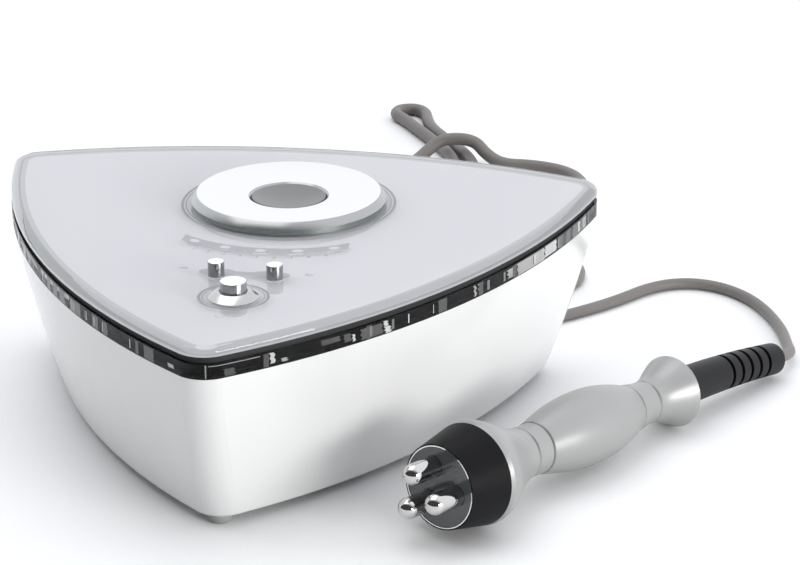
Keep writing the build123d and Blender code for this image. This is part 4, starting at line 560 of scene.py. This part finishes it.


# Painted light at the band's face: bright painted glints, and pale and grey painted reflections.
painted_light_patches("band_painted_bright_patches", painted_glint_white, (
    (122.6, 126.4, 78.0, 83.3, 0.3), (26.0, 27.6, 78.6, 83.3, 0.8), (55.0, 55.9, 78.4, 81.6, 0.5),
    (66.4, 68.4, 77.4, 80.4, 0.9), (66.0, 67.4, 80.6, 83.0, 0.7), (-48.6, -47.8, 79.2, 81.8, 0.2),
    (-14.5, -11.6, 79.0, 80.6, 0.8), (132.6, 134.4, 78.0, 83.0, 0.3),
    (-93.0, -72.0, 81.0, 83.2, 0.4)))
painted_light_patches("band_painted_pale_patches", painted_pale_reflection, (
    (113.0, 122.4, 77.4, 83.2, 0.6), (109.6, 112.4, 78.4, 82.6, 0.9),
    (134.6, 136.2, 77.6, 83.2, 0.2), (4.0, 22.5, 82.7, 83.05, 0.0), (2.6, 3.1, 77.4, 83.4, 0.1),
    (30.0, 32.0, 78.2, 79.8, 0.9), (-71.5, -66.4, 77.6, 83.0, 0.9), (97.8, 98.5, 78.0, 83.0, 0.6),
    (99.4, 99.9, 78.0, 83.0, 0.5), (-125.0, -96.0, 80.8, 83.0, 0.4)))
painted_light_patches("band_painted_grey_patches", painted_grey_reflection, (
    (127.0, 132.0, 77.4, 83.2, 0.3), (-126.0, -73.0, 77.2, 79.4, 0.2),
    (44.0, 50.5, 80.4, 82.8, 0.9), (52.0, 54.4, 79.0, 82.6, 0.7), (58.0, 65.5, 77.8, 82.6, 0.8),
    (9.8, 13.5, 77.6, 80.8, 0.9)))


# Inner frame and lid
# The lid is a clear acrylic plate with a rounded edge, bonded over a lavender-grey printed film.
# Both lie on the inner frame, a moulded deck coloured near black as painted shade, so its skirt
# is dark behind the band.
LID_LOW = 86.8
LID_TOP = 91.0
BOND_DEPTH = 0.06
CREASE_ANGLE = 28
FLAT_UPWARDS = 0.99995
# The deck's near black is painted shade, which keeps the band dark.
dress(surfaced("frame_painted_shade_black", (0.012, 0.012, 0.013), 0.45, shift=0.2, spread=0.1,
               grains=500.0, height=0.00003), "carrier_deck")
dress(surfaced("sheet_lavender_film", (0.56, 0.562, 0.582), 0.6, shift=0.012, spread=0.05,
               grains=1500.0, height=0.00001), "printed_sheet")


def crease(shape):
    """Smooth over the roundings, crisp at corners and round flat tops."""
    for face in shape.faces:
        face.smooth = True
    for edge in shape.edges:
        if len(edge.link_faces) == 2:
            one, other = (face.normal for face in edge.link_faces)
            flat = [abs(normal.z) > FLAT_UPWARDS for normal in (one, other)]
            edge.smooth = one.angle(other, 0) < math.radians(CREASE_ANGLE) and flat[0] == flat[1]


def welded(node_name):
    """Welded copy of a CAD node's mesh, smooth over its roundings and crisp round its flat tops."""
    source = nodes[node_name]
    shape = bmesh.new()
    corners = [shape.verts.new(source.matrix_world @ corner.co) for corner in source.data.vertices]
    for face in source.data.polygons:
        shape.faces.new([corners[index] for index in face.vertices])
    bmesh.ops.remove_doubles(shape, verts=shape.verts, dist=2e-6)
    bmesh.ops.dissolve_degenerate(shape, edges=shape.edges, dist=1e-6)
    crease(shape)
    return shape


# The lid's underside reaches slightly into the film, so no air lies between the two.
lid_shape = welded("lid_plate")
for corner in lid_shape.verts:
    if corner.co.z < (LID_LOW + BOND_DEPTH) / 1000:
        corner.co.z = (LID_LOW - BOND_DEPTH) / 1000
lid_clear = clear_acrylic("lid_clear_acrylic", (0.97, 0.975, 0.99), 0.02, ior=1.40,
                          tint=(0.93, 0.935, 0.95))
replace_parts(finished("lid_clear_plate", lid_shape, lid_clear), "lid_plate")


def outline_ring(inset):
    """The outline drawn inwards by inset, with as many points whatever the inset is."""
    whole = outline(0.0, 1.6)
    ring = []
    for index, spot in enumerate(whole):
        along = whole[(index + 1) % len(whole)] - whole[index - 1]
        inwards = Vector((-along.y, along.x)).normalized()
        ring.append(spot + inwards * inset)
    return ring


def strip_faces(shape, outer, inner, z, thickness, closed):
    """Thin raised strip between two lines of equally many points."""
    rings = []
    for level in (z, z + thickness):
        rings.append([shape.verts.new(place(p.x, p.y, level)) for p in outer])
        rings.append([shape.verts.new(place(p.x, p.y, level)) for p in inner])
    low_out, low_in, top_out, top_in = rings
    count = len(outer)
    for index in range(count if closed else count - 1):
        after = (index + 1) % count
        for a, b in ((top_out, top_in), (top_in, low_in), (low_in, low_out), (low_out, top_out)):
            shape.faces.new((a[index], a[after], b[after], b[index]))
    if not closed:
        for index in (0, count - 1):
            shape.faces.new((low_out[index], low_in[index], top_in[index], top_out[index]))


def printed(name, material, strips, z, thickness, closed=False):
    """Piece of print in one ink, made of strips that each have an outer and an inner line."""
    shape = bmesh.new()
    for outer, inner in strips:
        strip_faces(shape, outer, inner, z, thickness, closed)
    finished(name, shape, material)


# Painted shade: a grey strip and a darker line under the lid's rounded edge give it a darker
# border.
BORDER_THICKNESS = 0.04
for name, shade_name, colour, out, inner, lift in (
        ("lid_edge_shade_strip", "edge_shade_grey", (0.41, 0.414, 0.42), 0.25, 6.6, 0.0),
        ("lid_edge_shade_strip_line", "edge_shade_dark", (0.27, 0.275, 0.28), 3.4, 4.3, 0.05)):
    edge_shade_paint = surfaced(shade_name, colour, 0.5, shift=0.03, spread=0.05, grains=1200.0,
                          height=0.0)
    printed(name, edge_shade_paint, [(outline_ring(out), outline_ring(inner))], LID_LOW + lift,
            BORDER_THICKNESS, True)


# Round rest
# A ring turned from aluminium and satin anodised, with a bright bevelled flank and a top that
# sinks a little towards its bore, and a grey moulded dish in that bore. A stud through the deck
# holds both down.
FACE_X = 2.2
REST_Y = -8.0
LATHE_STEPS = 128


def turned_lines_group():
    """Shared effect: the fine rings that a lathe tool leaves round an upright axis."""
    group = effect_group("turned_lines", (
        ("Axis X", "Float"), ("Axis Y", "Float"), ("Lines per metre", "Float"),
        ("Height", "Float"), ("Roughness", "Float"), ("Spread", "Float")), (
        ("Roughness", "Float"), ("Normal", "Vector")))
    given = add_node(group, "NodeGroupInput").outputs
    where = add_node(group, "ShaderNodeTexCoord").outputs["Object"]
    axis = add_node(group, "ShaderNodeCombineXYZ", {"X": given["Axis X"], "Y": given["Axis Y"]})
    offset = add_node(group, "ShaderNodeVectorMath", {
        0: where, 1: axis.outputs["Vector"]}, operation="SUBTRACT")
    flat = add_node(group, "ShaderNodeVectorMath", {
        0: offset.outputs["Vector"], 1: (1.0, 1.0, 0.0)}, operation="MULTIPLY")
    reach = add_node(group, "ShaderNodeVectorMath", {0: flat.outputs["Vector"]}, operation="LENGTH")
    lines = add_node(group, "ShaderNodeTexNoise", {
        "W": reach.outputs["Value"], "Scale": given["Lines per metre"], "Detail": 4.0},
        noise_dimensions="1D")
    bump = add_node(group, "ShaderNodeBump", {
        "Height": lines.outputs["Fac"], "Distance": given["Height"]})
    _, gloss = uneven_gloss(group, lines.outputs["Fac"], given)
    add_node(group, "NodeGroupOutput", {"Roughness": gloss, "Normal": bump.outputs["Normal"]})
    return group


turned_lines = turned_lines_group()


def turned_metal(name, colour, roughness, x, y, spread, lines, height):
    """Lathe-turned metal about the upright axis through x, y in millimetres."""
    material = new_material(name, colour, roughness, METAL)
    axis = place(x, y, 0)
    put_effect(material, turned_lines, {
        "Axis X": axis.x, "Axis Y": axis.y, "Lines per metre": lines, "Height": height,
        "Roughness": roughness, "Spread": spread}, (
        ("Roughness", "Roughness"), ("Normal", "Normal")))
    return material


def turned_piece(name, profile, materials, x, y, body="console"):
    """Lathe piece about the upright axis through x, y.

    Each corner of its profile has a radius, a height and the number of the material above it.
    """
    shape = bmesh.new()
    rings = []
    for radius, height, _ in profile:
        ring = []
        for index in range(LATHE_STEPS if radius > 0 else 1):
            angle = 2 * math.pi * index / LATHE_STEPS
            ring.append(shape.verts.new(place(x + radius * math.cos(angle),
                                              y + radius * math.sin(angle), height)))
        rings.append(ring)
    closed = profile[0][0] > 0
    for number in range(len(rings) if closed else len(rings) - 1):
        low, high = rings[number], rings[(number + 1) % len(rings)]
        for index in range(LATHE_STEPS):
            after = (index + 1) % LATHE_STEPS
            corners = []
            for corner in (low[index % len(low)], low[after % len(low)],
                           high[after % len(high)], high[index % len(high)]):
                if corner not in corners:
                    corners.append(corner)
            face = shape.faces.new(corners)
            face.material_index = profile[number][2]
    shape.normal_update()
    crease(shape)
    piece = finished(name, shape, materials[0], body)
    for material in materials[1:]:
        piece.data.materials.append(material)
    return piece


TOP, FLANK, STEP = 0, 1, 2
# One aluminium in three copies: the top in its own light tone, the flank darker as painted shade,
# and the step darker and greenish as painted shade and painted reflection of the lid.
rest_metals = [
    turned_metal(name, colour, roughness, FACE_X, REST_Y, spread=0.1, lines=lines, height=height)
    for name, colour, roughness, lines, height in (
        ("rest_top_aluminium", (0.78, 0.78, 0.78), 0.34, 3000.0, 0.000004),
        ("rest_aluminium_painted_shade_flank", (0.42, 0.425, 0.42), 0.24, 2500.0, 0.000006),
        ("rest_aluminium_painted_shade_step", (0.32, 0.35, 0.34), 0.30, 2500.0, 0.000006))]
rest_ring = turned_piece("rest_turned_ring", (
    (17.0, LID_TOP, STEP), (44.3, LID_TOP, STEP), (44.3, 93.4, STEP), (44.7, 93.42, FLANK),
    (42.42, 96.46, FLANK), (42.25, 96.57, FLANK), (42.05, 96.6, TOP), (18.4, 94.6, FLANK),
    (17.0, 93.2, FLANK)), rest_metals, FACE_X, REST_Y)
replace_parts(rest_ring, "rest_ring")
dress(surfaced("dish_grey_plastic", (0.185, 0.185, 0.182), 0.42, shift=0.04, spread=0.08,
               grains=800.0, height=0.00002), "rest_dish")


# Print on the lid
# Screen printed in greys on the acrylic's face: thin double rings round the rest and the power
# button, the level bar with its five windows and nine numbers, a bar joining the level buttons,
# two arrows and a power sign.
PRINT_Z = LID_TOP + 0.005
PRINT_THICKNESS = 0.02
POWER_Y = -129.0
RING_STEPS = 128
BAR_STEPS = 60


def ink(name, colour):
    """Matt ink a few hundredths of a millimetre thick, which shades nothing under it."""
    return let_light_by(surfaced(name, colour, 0.6, shift=0.04, spread=0.05, grains=1200.0,
                                 height=0.0))


print_grey = ink("print_grey_ink", (0.37, 0.375, 0.395))
print_faint = ink("print_faint_ink", (0.40, 0.405, 0.43))
print_strong = ink("print_strong_ink", (0.28, 0.285, 0.295))


def arc_line(radius, start, stop, count, x=FACE_X, y=REST_Y):
    """Points on an arc, in millimetres and degrees."""
    spots = []
    for index in range(count + 1):
        angle = math.radians(start + (stop - start) * index / count)
        spots.append(Vector((x + radius * math.cos(angle), y + radius * math.sin(angle))))
    return spots


def full_circle(radius, y):
    """Points all round a circle on the face's middle line."""
    return arc_line(radius, 0, 360, RING_STEPS, FACE_X, y)[:-1]


printed("printed_rings", print_strong, [
    (full_circle(radius, y), full_circle(radius - width, y))
    for radius, width, y in ((49.2, 1.2, REST_Y), (47.2, 0.5, REST_Y), (15.3, 1.3, POWER_Y),
                             (13.4, 0.5, POWER_Y))], PRINT_Z, PRINT_THICKNESS, True)
printed("printed_level_bar", print_grey, [
    (arc_line(67.6, -123.6, -56.4, BAR_STEPS), arc_line(61.4, -127.0, -53.0, BAR_STEPS))],
    PRINT_Z, PRINT_THICKNESS)

WINDOW_STEP = 14.5
WINDOW_REACH = 64.6
WINDOW_HALF_LONG = 2.5
WINDOW_HALF_SHORT = 1.7
WINDOW_HEART = 0.02
WINDOW_CORNERS = 32
WINDOW_LIFT = 0.03
windows = []
for index in range(5):
    tilt = (index - 2) * WINDOW_STEP
    middle = arc_line(WINDOW_REACH, -90 + tilt, 0, 1)[0]
    turn = math.radians(tilt)
    long_way = Vector((math.cos(turn), math.sin(turn)))
    short_way = Vector((-long_way.y, long_way.x))
    rim = []
    for part in range(WINDOW_CORNERS):
        angle = 2 * math.pi * part / WINDOW_CORNERS
        rim.append(middle + long_way * WINDOW_HALF_LONG * math.cos(angle)
                   + short_way * WINDOW_HALF_SHORT * math.sin(angle))
    windows.append((rim, [middle + (spot - middle) * WINDOW_HEART for spot in rim]))
window_frost = let_light_by(surfaced("window_frosted", (0.56, 0.565, 0.59), 0.4, shift=0.03,
                                     spread=0.05, grains=900.0, height=0.0))
printed("level_windows", window_frost, windows, PRINT_Z + WINDOW_LIFT, PRINT_THICKNESS, True)

# The joining bar swells round each level button and narrows to a waist between them.
JOIN_LEFT = -18.9
JOIN_LENGTH = 39.9
JOIN_Y = -101.2
JOIN_LEAST_HALF = 0.05
SWELL_REACH = 8.4
SWELL_HALF = 4.3
WAIST_X = 1.0
WAIST_HALF = 1.9
WAIST_FLARE = 0.004
upper, lower = [], []
for index in range(BAR_STEPS + 1):
    x = JOIN_LEFT + JOIN_LENGTH * index / BAR_STEPS
    half = JOIN_LEAST_HALF
    if -12 < x < 14:
        half = WAIST_HALF + WAIST_FLARE * (x - WAIST_X) ** 2
    for middle in (-10.6, 12.7):
        away = (x - middle) / SWELL_REACH
        half = max(half, SWELL_HALF * math.sqrt(max(0.0, 1 - away * away)))
    upper.append(Vector((x, JOIN_Y + half)))
    lower.append(Vector((x, JOIN_Y - half)))
printed("printed_joining_bar", print_grey, [(upper, lower)], PRINT_Z, PRINT_THICKNESS)

ARROW_TIP_HALF = 0.05
ARROW_TAIL_HALF = 1.3
arrows = []
for tip_x, tail_x, y in ((-28.8, -24.6, -98.4), (31.5, 27.3, -98.8)):
    arrows.append(([Vector((tip_x, y + ARROW_TIP_HALF)), Vector((tail_x, y + ARROW_TAIL_HALF))],
                   [Vector((tip_x, y - ARROW_TIP_HALF)), Vector((tail_x, y - ARROW_TAIL_HALF))]))
printed("printed_arrows", print_faint, arrows, PRINT_Z, PRINT_THICKNESS)

NUMBER_STEP = 6.0
NUMBER_REACH = 72.7
for index in range(9):
    turn = math.radians((index - 4) * NUMBER_STEP)
    words = bpy.data.curves.new(f"number_{index + 1}", "FONT")
    words.body = str(index + 1)
    words.size = 0.0032
    words.extrude = 0.00001
    words.align_x = "CENTER"
    words.align_y = "CENTER"
    text = in_scene(f"level_number_{index + 1}_text", words)
    bpy.context.view_layer.update()
    graph = bpy.context.evaluated_depsgraph_get()
    digits = bpy.data.meshes.new_from_object(text.evaluated_get(graph))
    spot = place(FACE_X + NUMBER_REACH * math.sin(turn), REST_Y - NUMBER_REACH * math.cos(turn),
                 PRINT_Z)
    digits.transform(Matrix.Translation(spot) @ Matrix.Rotation(turn, 4, "Z"))
    bpy.data.objects.remove(text)
    digits.materials.clear()
    digits.materials.append(print_strong)
    number = in_scene(f"level_number_{index + 1}", digits)
    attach(number, "console")

SIGN_AT = (1.0, -151.0)
print_rose = ink("print_rose_ink", (0.50, 0.38, 0.42))
printed("printed_power_sign", print_rose, [
    (arc_line(2.1, 120, 420, 40, *SIGN_AT), arc_line(1.6, 120, 420, 40, *SIGN_AT)),
    ([Vector((0.75, -150.4)), Vector((0.75, -148.2))],
     [Vector((1.25, -150.4)), Vector((1.25, -148.2))])], PRINT_Z, PRINT_THICKNESS)


# Push buttons
# Three caps turned from brass and chrome plated, each with a slightly rounded top edge. The power
# button runs in a cone-shaped aluminium bezel screwed through the lid.
LEVEL_Y = -104.5
LEVEL_ASIDE = 12.8
EDGE_STEPS = 6


def cap_profile(radius, top, edge, flange_radius, flange_low, flange_high, stem_radius, stem_low):
    """Corners of a cap from its stem's foot, past a stop flange, to its rounded top edge."""
    corners = [(0, stem_low, FLANK)]
    if stem_low < flange_low:
        corners += [(stem_radius, stem_low, FLANK), (stem_radius, flange_low, FLANK)]
    corners += [(flange_radius, flange_low, FLANK), (flange_radius, flange_high, FLANK),
                (radius, flange_high, FLANK)]
    for part in range(EDGE_STEPS + 1):
        angle = math.pi / 2 * part / EDGE_STEPS
        corners.append((radius - edge + edge * math.cos(angle),
                        top - edge + edge * math.sin(angle),
                        TOP if part > EDGE_STEPS // 2 else FLANK))
    return corners + [(0, top, TOP)]


def push_button(node_name, body, x, y, top_roughness, painted_shade_grey, profile):
    """Chrome cap about the upright axis through x, y, in place of the CAD node."""
    # The cap's chrome is in two copies: a near-white top, and a side painted darker grey as painted
    # shade.
    painted_shade_colour = (painted_shade_grey, painted_shade_grey, painted_shade_grey + 0.01)
    metals = (turned_metal(node_name + "_top", (0.95, 0.95, 0.96), top_roughness, x, y,
                           spread=0.04, lines=5000.0, height=0.0000015),
              turned_metal(node_name + "_side", painted_shade_colour, 0.09, x, y,
                           spread=0.04, lines=3000.0, height=0.000001))
    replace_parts(turned_piece(node_name + "_cap", profile, metals, x, y, body),
                node_name)


level_profile = cap_profile(radius=3.6, top=97.3, edge=0.5, flange_radius=5.0, flange_low=81.45,
                            flange_high=82.95, stem_radius=1.8, stem_low=75.7)
power_profile = cap_profile(radius=5.75, top=98.3, edge=0.6, flange_radius=7.4, flange_low=78.25,
                            flange_high=79.75, stem_radius=0, stem_low=78.25)
# Side greys of painted shade: 0.34 on the level buttons, 0.40 on the power button.
for side, way in ((-1, "down"), (1, "up")):
    push_button(f"level_{way}_button", f"level_{way}", FACE_X + LEVEL_ASIDE * side, LEVEL_Y,
                0.07, 0.34, level_profile)
push_button("power_button", "power", FACE_X, POWER_Y, 0.08, 0.40, power_profile)
bezel_silver = turned_metal("bezel_silver", (0.50, 0.50, 0.495), 0.24, FACE_X, POWER_Y,
                            spread=0.08, lines=2500.0, height=0.000004)
bezel = turned_piece("power_bezel_cone", (
    (6.0, 80.0, TOP), (8.2, 80.0, TOP), (8.2, LID_TOP, TOP), (10.7, LID_TOP, TOP),
    (10.75, 91.12, TOP), (7.55, 93.92, TOP), (7.3, 94.0, TOP), (6.15, 94.0, TOP),
    (6.0, 93.85, TOP)), (bezel_silver,), FACE_X, POWER_Y)
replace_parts(bezel, "power_bezel")


# Inner parts
# Circuit boards, transformers, heat sink, capacitors, lamps, light guides and fixings. They show
# only through the vents and the clear parts, so they have plain finishes of their own material.
dress(surfaced("board_green_lacquer", (0.02, 0.13, 0.06), 0.35, shift=0.3, spread=0.1,
               grains=300.0, height=0.00003), "control_board", "rf_board", "handle_board")
dress(surfaced("switch_black_plastic", (0.02, 0.02, 0.022), 0.5, shift=0.2, spread=0.1,
               grains=900.0, height=0.00003), "level_switches", "power_switch")
dress(surfaced("core_laminated_steel", (0.09, 0.09, 0.095), 0.55, shift=0.4, spread=0.15,
               grains=1400.0, height=0.00005), "rf_core", "mains_core")
dress(surfaced("winding_copper_enamel", (0.42, 0.16, 0.06), 0.35, shift=0.4, spread=0.1,
               grains=2200.0, height=0.00008), "rf_coil", "mains_coil")
dress(surfaced("capacitor_sleeve", (0.02, 0.03, 0.08), 0.4, shift=0.2, spread=0.1, grains=700.0,
               height=0.00002), "capacitors")
dress(surfaced("sink_plain_aluminium", (0.72, 0.73, 0.75), 0.4, shift=0.08, spread=0.12,
               grains=600.0, height=0.00002, sockets=METAL), "heat_sink")
dress(surfaced("fixing_plated_steel", (0.55, 0.55, 0.57), 0.3, shift=0.08, spread=0.12,
               grains=600.0, height=0.00002, sockets=METAL),
      "rest_nut", "bezel_nut", "board_screws", "rf_board_screws", "rear_panel_screws",
      "socket_nut", "case_screws", "electrode_nuts")
dress(surfaced("guide_clear_plastic", (0.85, 0.86, 0.88), 0.2, shift=0.05, spread=0.1,
               grains=300.0, height=0.00002, sockets={"Transmission Weight": 0.5}),
      "level_leds", "light_guides")


# Rear panel
# A grey moulded plate screwed into the pocket of the back wall. It carries the handpiece socket,
# a fuse holder and the gland whose tapered sleeve keeps the mains lead from kinking.
dress(surfaced("panel_grey_plastic", (0.45, 0.45, 0.47), 0.5, shift=0.06, spread=0.08,
               grains=1100.0, height=0.00005), "rear_panel")
dress(surfaced("connector_black_plastic", (0.018, 0.018, 0.02), 0.42, shift=0.25, spread=0.12,
               grains=900.0, height=0.00004),
      "handpiece_socket", "fuse_holder", "mains_gland", "handpiece_plug")
dress(surfaced("plug_grey_pvc", (0.285, 0.255, 0.245), 0.45, shift=0.1, spread=0.1,
               grains=900.0, height=0.00004), "mains_plug")


# Handpiece
# A grip in satin silver paint, moulded in three lengths that plug into each other. Its head is a
# black barrel with a smoky face and three polished steel electrode rods with domed ends.
dress(surfaced("hand_silver_paint", (0.36, 0.363, 0.36), 0.36, shift=0.05, spread=0.06,
               grains=2600.0, height=0.00003,
               sockets={"Metallic": 0.45, "Specular IOR Level": 0.3}),
      "front_cone", "grip_shell", "tail_cone")
dress(surfaced("barrel_black_satin", (0.006, 0.006, 0.007), 0.45, shift=0.2, spread=0.08,
               grains=2000.0, height=0.00002, sockets={"Specular IOR Level": 0.1}), "head_barrel")
dress(surfaced("trim_bright_chrome", (0.86, 0.86, 0.87), 0.1, shift=0.03, spread=0.05,
               grains=500.0, height=0.000005, sockets=METAL), "face_trim")
dress(surfaced("face_smoky_plastic", (0.075, 0.082, 0.085), 0.16, shift=0.1, spread=0.06,
               grains=500.0, height=0.00001, coat=0.4), "face_plate")
dress(surfaced("electrode_polished_steel", (0.60, 0.59, 0.58), 0.05, shift=0.03, spread=0.04,
               grains=400.0, height=0.000004, sockets=METAL),
      "electrode_1", "electrode_2", "electrode_3")
dress(surfaced("carrier_white_plastic", (0.74, 0.74, 0.72), 0.5), "electrode_carrier")
dress(surfaced("relief_black_rubber", (0.007, 0.007, 0.008), 0.45, shift=0.2, spread=0.1,
               grains=1200.0, height=0.00004, sockets={"Specular IOR Level": 0.25}),
      "strain_relief", "tail_plug")
